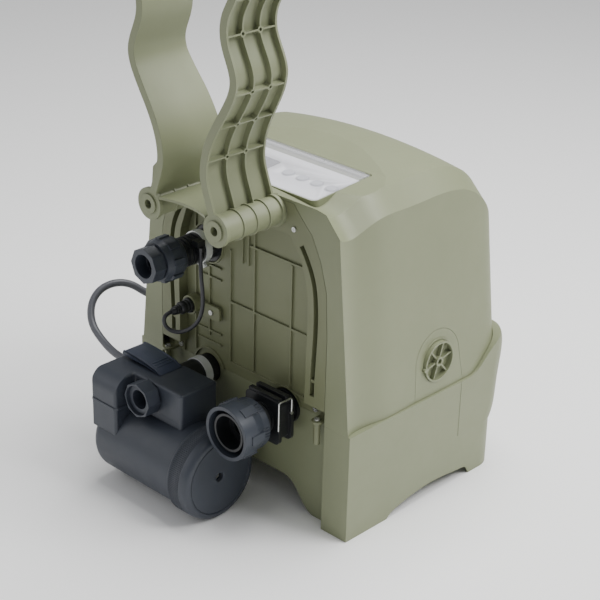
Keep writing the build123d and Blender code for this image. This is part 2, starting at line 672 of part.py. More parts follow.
AIR_NUT = [(-260, 31), (-248, 34), (-230, 34), (-222, 31), (-218, 27)]
with BuildPart() as air_nut:
    with BuildSketch(Plane.XY) as half:
        with BuildLine():
            Polyline((26, -260), *[(r, y) for y, r in AIR_NUT], (21.5, -218), (21.5, -228),
                     (26, -228), close=True)
        make_face()
    revolve(axis=Axis.Y)
    with BuildSketch(at_y(-250)) as lugs:
        with PolarLocations(34, 8, start_angle=10):
            Rectangle(5, 10)
    extrude(amount=-20)
    add(y_disc(0, 0, 26, -262, -228), mode=Mode.SUBTRACT)
air_nut_part = Pos(UPPER_X, 0, UPPER_Z) * air_nut.part
save(air_nut_part, "air_nut")

with BuildPart() as air_nozzle:
    with BuildSketch(at_y(-262)) as collar:
        with Locations((UPPER_X, UPPER_Z)):
            RegularPolygon(29, 8)
            Circle(19, mode=Mode.SUBTRACT)
    extrude(amount=22)
    with BuildSketch(at_y(-236)) as spigot:
        with Locations((UPPER_X, UPPER_Z)):
            Circle(25)
            Circle(17, mode=Mode.SUBTRACT)
    extrude(amount=26)
save(air_nozzle.part, "air_nozzle")


def band_clamp(x, z, r, y0, y1, ear_angle, name):
    """Write a metal band with two ears, and return the screw that closes it."""
    with BuildPart() as band:
        with BuildSketch(at_y(y1)) as ring:
            with Locations((x, z)):
                Circle(r + 2)
                Circle(r, mode=Mode.SUBTRACT)
        extrude(amount=y1 - y0)
        ear_x = x + (r + 5) * cos(radians(ear_angle))
        ear_z = z + (r + 5) * sin(radians(ear_angle))
        middle = Pos(ear_x, (y0 + y1) / 2, ear_z) * Rot(0, -ear_angle, 0)
        for shift in (-3, 3):
            add(middle * Pos(0, 0, shift) * Box(9, y1 - y0, 2, mode=Mode.PRIVATE))
        add(middle * Pos(1, 0, 0) * Cylinder(1.6, 20, mode=Mode.PRIVATE), mode=Mode.SUBTRACT)
    save(band.part, name)
    with BuildPart() as screw:
        add(middle * Pos(1, 0, 6) * Cylinder(3.4, 4, mode=Mode.PRIVATE))
        add(middle * Pos(1, 0, 0) * Cylinder(1.6, 10, mode=Mode.PRIVATE))
    return screw.part


upper_clamp_screw = band_clamp(UPPER_X, UPPER_Z, 25, -177, -165, -60, "air_clamp")

# ---------------------------------------------------------------- lower right port (water out)
OUT_FRONT = -279.0
with BuildPart() as outlet_port:
    add(y_disc(PORT_X, PORT_Z, 28, -153, PANEL_Y))
    add(y_disc(PORT_X, PORT_Z, 22, -212, PORT_END))
    add(y_disc(PORT_X, PORT_Z, 25, -204, -165))
    add(y_disc(PORT_X, PORT_Z, 30, -222, -212))
    add(y_disc(PORT_X, PORT_Z, 22, -244, -220))
    add(y_disc(PORT_X, PORT_Z, 36, -250, -244))
    add(y_disc(PORT_X, PORT_Z, 31, OUT_FRONT + 5, -250))
    add(y_disc(PORT_X, PORT_Z, 27, OUT_FRONT - 1, -246), mode=Mode.SUBTRACT)
    add(y_disc(PORT_X, PORT_Z, 17, OUT_FRONT - 1, -100), mode=Mode.SUBTRACT)
save(outlet_port.part, "outlet_port")

with BuildPart() as outlet_nut:
    with BuildSketch(Plane.XY) as half:
        with BuildLine():
            Polyline((38, OUT_FRONT), (44, OUT_FRONT), (44, -252), (40, -236), (40, -224),
                     (22.6, -224), (22.6, -243), (38, -243), close=True)
        make_face()
    revolve(axis=Axis.Y)
    with BuildSketch(at_y(-240)) as lugs:
        with PolarLocations(42, 6):
            Rectangle(7, 15)
    extrude(amount=26)
    add(y_disc(0, 0, 38, OUT_FRONT - 2, -243), mode=Mode.SUBTRACT)
save(Pos(PORT_X, 0, PORT_Z) * outlet_nut.part, "outlet_nut")

LATCH_HALF = 37.0
with BuildPart() as outlet_latch:
    with BuildSketch(at_y(-170)) as collar:
        with Locations((PORT_X, PORT_Z)):
            RectangleRounded(2 * LATCH_HALF, 2 * LATCH_HALF, 9)
            Circle(25, mode=Mode.SUBTRACT)
    extrude(amount=32)
    with BuildSketch(at_y(-176)) as waist:
        with Locations((PORT_X, PORT_Z)):
            RectangleRounded(2 * LATCH_HALF + 4, 2 * LATCH_HALF + 4, 9)
            RectangleRounded(2 * LATCH_HALF - 10, 2 * LATCH_HALF - 10, 7, mode=Mode.SUBTRACT)
    extrude(amount=20, mode=Mode.SUBTRACT)
    add(block(PORT_X - 32, PORT_X + 32, -200, -192, PORT_Z + 30, PORT_Z + 41))
    add(block(PORT_X - 32, PORT_X + 32, -184, -176, PORT_Z + 30, PORT_Z + 41))
save(outlet_latch.part, "outlet_latch")

CLIP_X = PORT_X + LATCH_HALF + 2.2
CLIP_PIVOT = (-178.0, 190.0)
with BuildPart() as wire_clip:
    with BuildLine() as wire:
        FilletPolyline((CLIP_X, -206, 168), (CLIP_X, -206, 216), (CLIP_X, CLIP_PIVOT[0], 216),
                       (CLIP_X, CLIP_PIVOT[0], CLIP_PIVOT[1]), radius=4)
    with BuildSketch(Plane(origin=wire.line @ 0, z_dir=wire.line % 0)) as section:
        Circle(1.3)
    sweep()
    add(x_disc(CLIP_PIVOT[0], CLIP_PIVOT[1], 2.6, CLIP_X - 1.5, CLIP_X + 1.5))
save(wire_clip.part, "wire_clip")

# ---------------------------------------------------------------- filter canister
with BuildPart() as canister_body:
    add(x_disc(CAN_Y, CAN_Z, CAN_R, CAN_LEFT, 42))
    fillet(canister_body.faces().sort_by(Axis.X)[0].edges(), radius=14)
    add(x_disc(CAN_Y, CAN_Z, CAN_R - 4, CAN_LEFT + 6, 45), mode=Mode.SUBTRACT)
    # passage up into the filter head
    with Locations((-95, CAN_Y + 10, CAN_Z + CAN_R)):
        Cylinder(16, 24, mode=Mode.SUBTRACT)
save(canister_body.part, "canister_body")

CAP_BACK = 8.0
with BuildPart() as canister_cap:
    with BuildSketch(Plane.XZ) as half:
        with BuildLine():
            Polyline((CAP_BACK, CAN_R + FIT), (CAP_BACK, CAP_R), (45, CAP_R), (CAP_FACE, 68),
                     (CAP_FACE, 63), (50.4, 62), (50.4, 9), (39, 9), (39, 4), (36, 4), (36, 12),
                     (46, 13), (46, 60), (43, 63), (43, CAN_R + FIT), close=True)
        make_face()
    revolve(axis=Axis.X)
save(Pos(0, CAN_Y, CAN_Z) * canister_cap.part, "canister_cap")

with BuildPart() as cap_seal:
    add(x_disc(CAN_Y, CAN_Z, CAN_R - 0.4, 42, 43))
    add(x_disc(CAN_Y, CAN_Z, CAN_R - 4, 41, 44), mode=Mode.SUBTRACT)
save(cap_seal.part, "cap_seal")

with BuildPart() as cap_screw:
    add(x_disc(CAN_Y, CAN_Z, 6, 39, 43))
    add(x_disc(CAN_Y, CAN_Z, 4 - RUN, 18, 39))
    with BuildSketch(at_x(41.5)) as cross:
        with Locations((CAN_Y, CAN_Z)):
            Rectangle(7, 1.4)
            Rectangle(1.4, 7)
    extrude(amount=2, mode=Mode.SUBTRACT)
save(cap_screw.part, "cap_screw")

PLEATS = 40
cartridge_plane = Plane(origin=(-158, CAN_Y, CAN_Z), x_dir=(0, 1, 0), z_dir=(1, 0, 0))
with BuildPart() as filter_cartridge:
    with BuildSketch(cartridge_plane):
        with BuildLine():
            Polyline(*[((52 if i % 2 else 40) * cos(pi * i / PLEATS),
                        (52 if i % 2 else 40) * sin(pi * i / PLEATS))
                       for i in range(2 * PLEATS)], close=True)
        make_face()
        Circle(27, mode=Mode.SUBTRACT)
    extrude(amount=180)
save(filter_cartridge.part, "filter_cartridge")

with BuildPart() as cartridge_ends:
    for x0, x1 in ((-168, -158), (22, 32)):
        add(x_disc(CAN_Y, CAN_Z, 54, x0, x1))
        add(x_disc(CAN_Y, CAN_Z, 26, x0 - 1, x1 + 1), mode=Mode.SUBTRACT)
save(cartridge_ends.part, "cartridge_ends")

# ---------------------------------------------------------------- filter head with the pump
HEAD_LEFT = -182.0
HEAD_RIGHT = -12.0
LOBE_RIGHT = -122.0
HEAD_FRONT = -279.0
LOBE_FRONT = -320.0
HEAD_BACK = -203.0
HEAD_TOP = 200.0
HEAD_SPLIT = 150.0
LOBE_ROUND = 30.0          # rounding of the lobe's front top edge
HEAD_WALL = 4.0
MOTOR_X = -150.0
MOTOR_Z = 172.0
MOTOR_FRONT = LOBE_FRONT + 20
PIPE_X = -86.0             # water inlet
PIPE_Z = 174.0



def lobe_corner(shrink):
    """What the rounded front of the lobe leaves away, when all is drawn in by shrink."""
    y = LOBE_FRONT + LOBE_ROUND
    z = HEAD_TOP - LOBE_ROUND
    corner = block(HEAD_LEFT - 1, LOBE_RIGHT + 1, LOBE_FRONT - 1, y, z, HEAD_TOP + 1)
    return corner - x_disc(y, z, LOBE_ROUND - shrink, HEAD_LEFT - 2, LOBE_RIGHT + 2)


with BuildPart() as head_solid:
    with BuildSketch(Plane.XY.offset(100)):
        with BuildLine():
            Polyline((HEAD_LEFT, HEAD_BACK), (HEAD_LEFT, LOBE_FRONT), (LOBE_RIGHT, LOBE_FRONT),
                     (LOBE_RIGHT, HEAD_FRONT), (HEAD_RIGHT, HEAD_FRONT), (HEAD_RIGHT, HEAD_BACK),
                     close=True)
        make_face()
    extrude(amount=HEAD_TOP - 100)
    fillet(head_solid.edges().filter_by(Axis.Z), radius=5)
    fillet(head_solid.faces().sort_by(Axis.Z)[-1].edges(), radius=4.5)
    add(lobe_corner(0), mode=Mode.SUBTRACT)
    add(x_disc(CAN_Y, CAN_Z, CAN_R, -300, 100), mode=Mode.SUBTRACT)

with BuildPart() as head_hollow:
    with BuildSketch(Plane.XY.offset(100)):
        with BuildLine():
            Polyline((HEAD_LEFT + HEAD_WALL, HEAD_BACK - HEAD_WALL),
                     (HEAD_LEFT + HEAD_WALL, LOBE_FRONT + HEAD_WALL),
                     (LOBE_RIGHT - HEAD_WALL, LOBE_FRONT + HEAD_WALL),
                     (LOBE_RIGHT - HEAD_WALL, HEAD_FRONT + HEAD_WALL),
                     (HEAD_RIGHT - HEAD_WALL, HEAD_FRONT + HEAD_WALL),
                     (HEAD_RIGHT - HEAD_WALL, HEAD_BACK - HEAD_WALL), close=True)
        make_face()
    extrude(amount=HEAD_TOP - HEAD_WALL - 100)
    add(lobe_corner(HEAD_WALL), mode=Mode.SUBTRACT)
    add(x_disc(CAN_Y, CAN_Z, CAN_R + HEAD_WALL, -300, 100), mode=Mode.SUBTRACT)

head_bores = [y_disc(PIPE_X, PIPE_Z, 21, HEAD_FRONT - 2, HEAD_FRONT + 8),
              y_disc(-PORT_X, PORT_Z, 24, HEAD_BACK - 8, HEAD_BACK + 2)]
for name, z0, z1 in (("head_lower", 90, HEAD_SPLIT), ("head_upper", HEAD_SPLIT, 220)):
    with BuildPart() as head_part:
        add(head_solid.part)
        add(head_hollow.part, mode=Mode.SUBTRACT)
        add(head_bores, mode=Mode.SUBTRACT)
        add(block(-200, 0, -340, -190, z0, z1), mode=Mode.INTERSECT)
        if name == "head_lower":
            with Locations((-95, CAN_Y + 10, CAN_Z + CAN_R)):
                Cylinder(16, 40, mode=Mode.SUBTRACT)
    save(head_part.part, name)
    print(name, len(head_part.part.solids()), round(head_part.part.volume / 1e3, 1))

with BuildPart() as pump_motor:
    add(y_disc(MOTOR_X, MOTOR_Z, 20, MOTOR_FRONT, -254))
    add(y_disc(MOTOR_X, MOTOR_Z, 12, MOTOR_FRONT - 3, MOTOR_FRONT + 1))
    add(y_disc(MOTOR_X, MOTOR_Z, 9, -255, -250))
    add(y_disc(MOTOR_X, MOTOR_Z, 3 + FIT, MOTOR_FRONT + 4, -249), mode=Mode.SUBTRACT)
save(pump_motor.part, "pump_motor")

with BuildPart() as impeller:
    add(y_disc(MOTOR_X, MOTOR_Z, 3, MOTOR_FRONT + 5, -224))
    add(y_disc(MOTOR_X, MOTOR_Z, 7, -246, -222))
    add(y_disc(MOTOR_X, MOTOR_Z, 19, -246, -243))
    with BuildSketch(at_y(-225)):
        with Locations((MOTOR_X, MOTOR_Z)):
            with PolarLocations(12, 6):
                Rectangle(13, 2)
    extrude(amount=19)
save(impeller.part, "impeller")

with BuildPart() as inlet_pipe:
    add(y_disc(PIPE_X, PIPE_Z, 21, -298, HEAD_FRONT + 4))
    add(y_disc(PIPE_X, PIPE_Z, 24, -301, -298))
    add(y_disc(PIPE_X, PIPE_Z, 16, -303, HEAD_FRONT + 10), mode=Mode.SUBTRACT)
save(inlet_pipe.part, "inlet_pipe")

with BuildPart() as inlet_nut:
    with BuildSketch(at_y(-281)):
        RegularPolygon(29, 8)
        Circle(21.6, mode=Mode.SUBTRACT)
    extrude(amount=26)
    with BuildSketch(at_y(-297.6)):
        Circle(24.6)
    extrude(amount=12, mode=Mode.SUBTRACT)
save(Pos(PIPE_X, 0, PIPE_Z) * inlet_nut.part, "inlet_nut")

with BuildPart() as filter_outlet:
    add(y_disc(-PORT_X, PORT_Z, 24, -204, HEAD_BACK - 4))
    add(y_disc(-PORT_X, PORT_Z, 24, HEAD_BACK - 4, -152))
    add(y_disc(-PORT_X, PORT_Z, 22, -152, PORT_END))
    add(y_disc(-PORT_X, PORT_Z, 17, -212, -105), mode=Mode.SUBTRACT)
save(filter_outlet.part, "filter_outlet")
lower_clamp_screw = band_clamp(-PORT_X, PORT_Z, 24, -178, -164, -25, "filter_clamp")
with BuildPart() as clamp_screws:
    add(upper_clamp_screw)
    add(lower_clamp_screw)
save(clamp_screws.part, "clamp_screws")

# lever that holds the head's lid, on its own pin
LEVER_X = -172.0
LEVER_Z = 208.0
LEVER_Y = (-258.0, -212.0)
with BuildPart() as latch_lever:
    with BuildSketch(at_y(LEVER_Y[1])):
        with BuildLine():
            Polyline((-172, 203), (-150, 203), (-100, 201.5), (-88, 198), (-84, 200), (-98, 209),
                     (-146, 214), (-172, 213.5), close=True)
        make_face()
        with Locations((LEVER_X, LEVER_Z)):
            Circle(5.5)
    extrude(amount=LEVER_Y[1] - LEVER_Y[0])
    fillet(latch_lever.edges().filter_by(Axis.Y).sort_by(Axis.Z)[-2:], radius=3)
    add(block(-179, -160, LEVER_Y[0] + 8, LEVER_Y[1] - 8, 190, 209.8), mode=Mode.SUBTRACT)
    add(y_disc(LEVER_X, LEVER_Z, 2.1, -300, -180), mode=Mode.SUBTRACT)
    add(block(-200, -60, -300, -180, 180, HEAD_TOP + RUN), mode=Mode.SUBTRACT)
save(latch_lever.part, "latch_lever")
with BuildPart() as latch_pin:
    add(y_disc(LEVER_X, LEVER_Z, 2, LEVER_Y[0] + 0.5, LEVER_Y[1] - 0.5))
    add(block(-173.4, -170.6, LEVER_Y[0] + 12, LEVER_Y[1] - 12, HEAD_TOP, LEVER_Z))
save(latch_pin.part, "latch_pin")

# ---------------------------------------------------------------- cords
LEAD_D = 13.0
LEAD = [(-196, -236, 180), (-220, -236, 180), (-259, -230, 187), (-296, -224, 203),
        (-317, -209, 227), (-323, -186, 246), (-315, -159, 255), (-299, -135, 251),
        (-279, -119, 235), (-255, -104, 226), (-241, -93, 224)]
CABLE_D = 6.5
CABLE = [(-62, -192, 404), (-62, -192, 386), (-59, -194, 362), (-56, -193, 335), (-57, -192, 308),
         (-64, -193, 284), (-79, -198, 265), (-97, -207, 255), (-112, -216, 258), (-118, -221, 271),
         (-117, -218, 284), (-117, -204, 284)]


def cord(points, diameter, name):
    """A cord's plain tube: straight runs joined by tangent arcs as large as they allow."""
    steps = [Vector(*b) - Vector(*a) for a, b in zip(points, points[1:])]
    radii = []
    for before, after in zip(steps, steps[1:]):
        half_turn = radians(before.get_angle(after)) / 2
        radii.append(0.45 * min(before.length, after.length) / tan(half_turn))
    with BuildPart() as tube:
        with BuildLine() as path:
            FilletPolyline(*points, radius=radii)
        line = path.wire()
        with BuildSketch(Plane(origin=line @ 0, z_dir=line % 0)):
            Circle(diameter / 2)
        sweep(path=line)
    save(tube.part, name)
    area = pi * diameter ** 2 / 4
    print(name, "radii", [round(r) for r in radii], "length", round(line.length, 1),
          "volume / (section x length)", round(tube.part.volume / (area * line.length), 4))


cord(LEAD, LEAD_D, "pump_lead")
cord(CABLE, CABLE_D, "sensor_cable")


def gland(tip, direction, length, r_tip, r_root, name):
    """Tapered sleeve whose tip meets a cord's end."""
    base = Vector(*tip) - Vector(*direction).normalized() * length
    with BuildPart() as sleeve:
        with BuildSketch(Plane(origin=base, z_dir=direction)):
            Circle(r_root)
        with BuildSketch(Plane(origin=tip, z_dir=direction)):
            Circle(r_tip)
        loft()
        add(cover_outer, mode=Mode.SUBTRACT)
        add(block(BASE_X * -1, 0, REAR_Y, 200, 0, SEAM_Z), mode=Mode.SUBTRACT)
    save(sleeve.part, name)


gland(LEAD[0], Vector(-1, 0, 0), 14, 8.5, 11, "head_gland")
gland(LEAD[-1], Vector(*LEAD[-2]) - Vector(*LEAD[-1]), 26, 8.5, 13, "wall_gland")

# plug of the sensor cable and the bracket that holds it on the rear panel
PLUG_X = -117.0
PLUG_Z = 284.0
with BuildPart() as cable_plug:
    add(y_disc(PLUG_X, PLUG_Z, 10.5, -186, PANEL_Y - RIB))
    add(y_disc(PLUG_X, PLUG_Z, 12.5, -172, -166))
    add(y_disc(PLUG_X, PLUG_Z, 8, -197, -186))
    add(y_disc(PLUG_X, PLUG_Z, 5.5, CABLE[-1][1], -197))
save(cable_plug.part, "cable_plug")

with BuildPart() as cable_bracket:
    with BuildSketch(at_y(PANEL_Y - RIB)):
        with Locations((PLUG_X + 36, PLUG_Z - 3)):
            RectangleRounded(46, 24, 5)
        with Locations((PLUG_X, PLUG_Z)):
            Circle(16)
    extrude(amount=5)
    with BuildSketch(at_y(PANEL_Y - RIB - 4)):
        with Locations((PLUG_X, PLUG_Z)):
            Circle(16)
            Circle(11, mode=Mode.SUBTRACT)
    extrude(amount=12)
    add(y_disc(PLUG_X, PLUG_Z, 12.8, -173, -165), mode=Mode.SUBTRACT)
    add(y_disc(PLUG_X, PLUG_Z, 11, -180, PANEL_Y + 1), mode=Mode.SUBTRACT)
    gap = Pos(PLUG_X - 12, -160, PLUG_Z - 12) * Rot(0, -45, 0)
    add(gap * Box(16, 60, 12, mode=Mode.PRIVATE), mode=Mode.SUBTRACT)
    add(y_disc(PLUG_X + 40, PLUG_Z - 3, 2.2, -180, -140), mode=Mode.SUBTRACT)
save(cable_bracket.part, "cable_bracket")

# ---------------------------------------------------------------- corner brackets and screws
BRACKET_X = 170.0
BRACKET_Y = -166.0


def screw_head(place, r, height, shank_r, shank):
    """Pan-head screw with a cross slot, pointing along -Z of its place."""
    head = place * Pos(0, 0, height / 2) * Cylinder(r, height, mode=Mode.PRIVATE)
    stem = place * Pos(0, 0, -shank / 2) * Cylinder(shank_r, shank, mode=Mode.PRIVATE)
    slots = place * Pos(0, 0, height) * Box(1.4 * r, 1, 1.2, mode=Mode.PRIVATE)
    cross = place * Pos(0, 0, height) * Box(1, 1.4 * r, 1.2, mode=Mode.PRIVATE)
    return head + stem - slots - cross


with BuildPart() as corner_brackets:
    for side in (-1, 1):
        x = side * BRACKET_X
        add(block(min(x, x - side * 24), max(x, x - side * 24), PANEL_Y - 4, PANEL_Y, 187, 206))
        add(block(x - 9, x + 9, BRACKET_Y, PANEL_Y, 186, 190))
        with Locations((x, BRACKET_Y, 188)):
            Cylinder(9, 4)
        with Locations((x, BRACKET_Y, 168)):
            Cylinder(5.5, 38)
        with Locations((x, BRACKET_Y, 180)):
            Cylinder(1.8, 24, mode=Mode.SUBTRACT)
        add(y_disc(side * 153, 197, 1.8, -160, -140), mode=Mode.SUBTRACT)
save(corner_brackets.part, "corner_brackets")

with BuildPart() as rear_screws:
    for side in (-1, 1):
        add(screw_head(Pos(side * BRACKET_X, BRACKET_Y, 190), 5, 3, 1.8, 14))
        add(screw_head(Pos(side * 153, PANEL_Y - 4, 197) * Rot(90, 0, 0), 4.5, 2.6, 1.8, 4))
    add(screw_head(Pos(PLUG_X + 40, PANEL_Y - RIB - 5, PLUG_Z - 3) * Rot(90, 0, 0), 4.2, 2.4, 2.2, 5))
    for side in (-1, 1):
        place = Pos(side * FRAME_SCREW_X, REAR_Y, FRAME_SCREW_Z) * Rot(90, 0, 0)
        add(screw_head(place, 4, 2.4, 1.8, 12))
save(rear_screws.part, "rear_screws")

# ---------------------------------------------------------------- inside the housing
HEATER_Y = -62.0
AIR_PIPE_Y = 65.0
with BuildPart() as heater_tube:
    add(x_disc(HEATER_Y, PORT_Z, 30, -118, 118))
    for x in (-PORT_X, PORT_X):
        add(y_disc(x, PORT_Z, 22, PORT_END, HEATER_Y))
        add(y_disc(x, PORT_Z, 17, PORT_END - 1, HEATER_Y), mode=Mode.SUBTRACT)
    add(x_disc(HEATER_Y, PORT_Z, 27, -115, 115), mode=Mode.SUBTRACT)
save(heater_tube.part, "heater_tube")

with BuildPart() as heater_element:
    for y in (HEATER_Y - 9, HEATER_Y + 9):
        add(x_disc(y, PORT_Z, 4, -60, 115))
    add(block(-64, -56, HEATER_Y - 13, HEATER_Y + 13, PORT_Z - 4, PORT_Z + 4))
save(heater_element.part, "heater_element")

BLOWER_X = -110.0
BLOWER_Y = 90.0
BLOWER_LOW = 62.0
BLOWER_TOP = 122.0


def upright_disc(x, y, r, z0, z1):
    """Cylinder along Z between two heights."""
    return Pos(x, y, (z0 + z1) / 2) * Cylinder(r, z1 - z0, mode=Mode.PRIVATE)


with BuildPart() as blower_housing:
    add(upright_disc(BLOWER_X, BLOWER_Y, 55, BLOWER_LOW, BLOWER_TOP))
    add(upright_disc(BLOWER_X, BLOWER_Y, 52, BLOWER_LOW + 3, BLOWER_TOP - 3), mode=Mode.SUBTRACT)
    add(upright_disc(UPPER_X, AIR_PIPE_Y, 13, BLOWER_TOP - 4, BLOWER_TOP + 1), mode=Mode.SUBTRACT)
    for dx, dy in ((-30, -30), (-30, 30), (30, -30), (30, 30)):
        add(upright_disc(BLOWER_X + dx, BLOWER_Y + dy, 7, FLOOR_Z + WALL, BLOWER_LOW + 1))
    add(upright_disc(BLOWER_X, BLOWER_Y, 20, BLOWER_LOW, 92))
    add(upright_disc(BLOWER_X, BLOWER_Y, 3 + FIT, BLOWER_LOW + 4, 93), mode=Mode.SUBTRACT)
save(blower_housing.part, "blower_housing")

with BuildPart() as blower_fan:
    add(upright_disc(BLOWER_X, BLOWER_Y, 3, BLOWER_LOW + 5, 96))
    add(upright_disc(BLOWER_X, BLOWER_Y, 46, 94, 96))
    add(upright_disc(BLOWER_X, BLOWER_Y, 10, 96, 112))
    with BuildSketch(Plane.XY.offset(95)):
        with Locations((BLOWER_X, BLOWER_Y)):
            with PolarLocations(36, 16, start_angle=20):
                Rectangle(18, 1.6)
    extrude(amount=15)
save(blower_fan.part, "blower_fan")

with BuildPart() as air_pipe:
    with BuildLine() as pipe_path:
        FilletPolyline((UPPER_X, AIR_PIPE_Y, BLOWER_TOP), (UPPER_X, AIR_PIPE_Y, UPPER_Z),
                       (UPPER_X, PORT_END, UPPER_Z), radius=60)
    pipe_line = pipe_path.wire()
    with BuildSketch(Plane(origin=pipe_line @ 0, z_dir=pipe_line % 0)):
        Circle(17)
        Circle(14, mode=Mode.SUBTRACT)
    sweep(path=pipe_line)
save(air_pipe.part, "air_pipe")

# electronics box on the floor plate
BOX_X = (88.0, 188.0)
BOX_Y = (40.0, 150.0)
BOX_TOP = 128.0
with BuildPart() as control_box:
    add(block(*BOX_X, *BOX_Y, FLOOR_Z + WALL, BOX_TOP))
    fillet(control_box.edges().filter_by(Axis.Z), radius=6)
    add(block(BOX_X[0] + 3, BOX_X[1] - 3, BOX_Y[0] + 3, BOX_Y[1] - 3, FLOOR_Z + WALL + 3, BOX_TOP - 3),
        mode=Mode.SUBTRACT)
save(control_box.part, "control_box")
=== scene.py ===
# %% [markdown]
# # Pump and filter unit of a portable hot tub
#
# The mechanical model is loaded as a fixed frame.  This lesson adds the camera, the two
# cords, the moulded details that are too fine for the mechanical model, and every finish.
# All lengths are in metres unless a name ends in _MM.

# %% Load the frame
import json
from math import cos, pi, radians, sin

import bmesh
import bpy
from mathutils import Matrix, Vector

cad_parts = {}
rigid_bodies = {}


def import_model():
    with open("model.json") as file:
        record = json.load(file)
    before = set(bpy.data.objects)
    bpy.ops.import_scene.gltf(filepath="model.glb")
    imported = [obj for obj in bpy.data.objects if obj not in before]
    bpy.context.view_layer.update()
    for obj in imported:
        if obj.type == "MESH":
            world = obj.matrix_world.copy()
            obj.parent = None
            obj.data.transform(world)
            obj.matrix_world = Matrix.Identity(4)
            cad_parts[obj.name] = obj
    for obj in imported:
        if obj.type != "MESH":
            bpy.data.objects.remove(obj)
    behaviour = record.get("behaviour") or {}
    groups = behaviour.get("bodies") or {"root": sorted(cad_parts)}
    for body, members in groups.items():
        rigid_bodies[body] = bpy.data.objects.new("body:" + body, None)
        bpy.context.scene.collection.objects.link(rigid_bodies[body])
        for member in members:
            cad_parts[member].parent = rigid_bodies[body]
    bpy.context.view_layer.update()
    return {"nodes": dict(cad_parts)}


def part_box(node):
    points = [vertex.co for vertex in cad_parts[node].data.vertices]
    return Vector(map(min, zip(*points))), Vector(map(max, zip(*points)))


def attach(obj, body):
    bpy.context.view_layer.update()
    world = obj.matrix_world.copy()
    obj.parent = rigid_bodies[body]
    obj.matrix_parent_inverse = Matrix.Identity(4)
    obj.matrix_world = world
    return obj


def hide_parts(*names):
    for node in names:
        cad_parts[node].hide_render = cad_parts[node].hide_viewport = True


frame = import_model()

# %% [markdown]
# ## Camera
#
# The camera looks down on the rear right corner.  A long lens far away keeps the sides
# nearly parallel, as in catalogue pictures.  It is turned by its three directions, which is
# easier to read than three angles: right, up, and backwards out of the lens.

# %% Camera
AZIMUTH = radians(43.52)
ELEVATION = radians(25.32)
ROLL = radians(1.49)
LENS_MM = 96.54
CAMERA_PLACE = (1.61607, -1.68306, 1.4)

backwards = Vector((sin(AZIMUTH) * cos(ELEVATION), -cos(AZIMUTH) * cos(ELEVATION), sin(ELEVATION)))
level = Vector((cos(AZIMUTH), sin(AZIMUTH), 0))
upright = backwards.cross(level)
right = cos(ROLL) * level + sin(ROLL) * upright
up = cos(ROLL) * upright - sin(ROLL) * level
bpy.ops.object.camera_add(location=CAMERA_PLACE)
camera = bpy.context.object
camera.rotation_euler = Matrix((right, up, backwards)).transposed().to_euler()
camera.data.lens = LENS_MM
camera.data.sensor_width = 36
bpy.context.scene.camera = camera

# %% [markdown]
# ## Cords
#
# A soft lead runs from the pump head round to the side of the housing, and a thin cable
# from the air port to its plug.  Each is one NURBS spline through the air: its control
# points pull the line without sharp corners, so it bends like rubber and not like wire.

# %% Cord routes
LEAD_D = 0.013
LEAD_ROUTE = [(-0.196, -0.1856, 0.180), (-0.220, -0.1856, 0.180), (-0.259, -0.1796, 0.187),
              (-0.296, -0.1736, 0.203), (-0.317, -0.1586, 0.227), (-0.323, -0.1356, 0.246),
              (-0.315, -0.1086, 0.255), (-0.299, -0.0846, 0.251), (-0.279, -0.0686, 0.235),
              (-0.255, -0.0536, 0.226), (-0.241, -0.0426, 0.224)]
CABLE_D = 0.0065
CABLE_ROUTE = [(-0.062, -0.1416, 0.404), (-0.062, -0.1416, 0.386), (-0.059, -0.1436, 0.362),
               (-0.056, -0.1426, 0.335), (-0.057, -0.1416, 0.308), (-0.064, -0.1426, 0.284),
               (-0.079, -0.1476, 0.265), (-0.097, -0.1566, 0.255), (-0.112, -0.1656, 0.258),
               (-0.118, -0.1706, 0.271), (-0.117, -0.1676, 0.284), (-0.117, -0.1536, 0.284)]


def rope_line(name, points, diameter):
    """A round cord as one open NURBS spline drawn by its control points.

    The bevel is 1 m deep and each point scales it to the cord's radius, because Blender's
    bounding box of a curve reaches one point radius beyond its points.
    """
    curve = bpy.data.curves.new(name, "CURVE")
    curve.dimensions = "3D"
    curve.bevel_depth = 1.0
    curve.bevel_resolution = 6
    curve.resolution_u = 10
    spline = curve.splines.new("NURBS")
    spline.points.add(len(points) - 1)
    for point, place in zip(spline.points, points):
        point.co = (*place, 1)
        point.radius = diameter / 2
    spline.order_u = 3
    spline.use_endpoint_u = True
    piece = bpy.data.objects.new(name, curve)
    bpy.context.collection.objects.link(piece)
    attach(piece, "housing")
    return piece


lead = rope_line("pump_lead_soft", LEAD_ROUTE, LEAD_D)
cable = rope_line("sensor_cable_soft", CABLE_ROUTE, CABLE_D)
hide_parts("pump_lead")
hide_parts("sensor_cable")

# %% [markdown]
# ## Materials
#
# Nearly everything here is injection-moulded plastic.  What tells moulded plastic from
# painted metal is its broad, soft highlight, the fine spark-eroded texture of the mould, and
# slightly rounded edges.  One function makes such a plastic; hex colours are sRGB, as a
# colour card gives them, and are turned to the linear values that shaders count in.


# %% Colour and node helpers
def linear(hex_code):
    """Linear RGBA from an sRGB hex colour."""
    parts = [int(hex_code[i:i + 2], 16) / 255 for i in (1, 3, 5)]
    return [*(p / 12.92 if p <= 0.04045 else ((p + 0.055) / 1.055) ** 2.4 for p in parts), 1.0]


def add_node(material, kind, inputs=None, **settings):
    """One shader node with its settings, and its inputs set or linked."""
    node = material.node_tree.nodes.new(kind)
    for name, value in settings.items():
        setattr(node, name, value)
    for name, value in (inputs or {}).items():
        if isinstance(value, bpy.types.NodeSocket):
            material.node_tree.links.new(value, node.inputs[name])
        else:
            node.inputs[name].default_value = value
    return node


def per_mm(size_mm):
    """Texture scale whose pattern repeats about every size_mm on Object coordinates."""
    return 1000 / size_mm


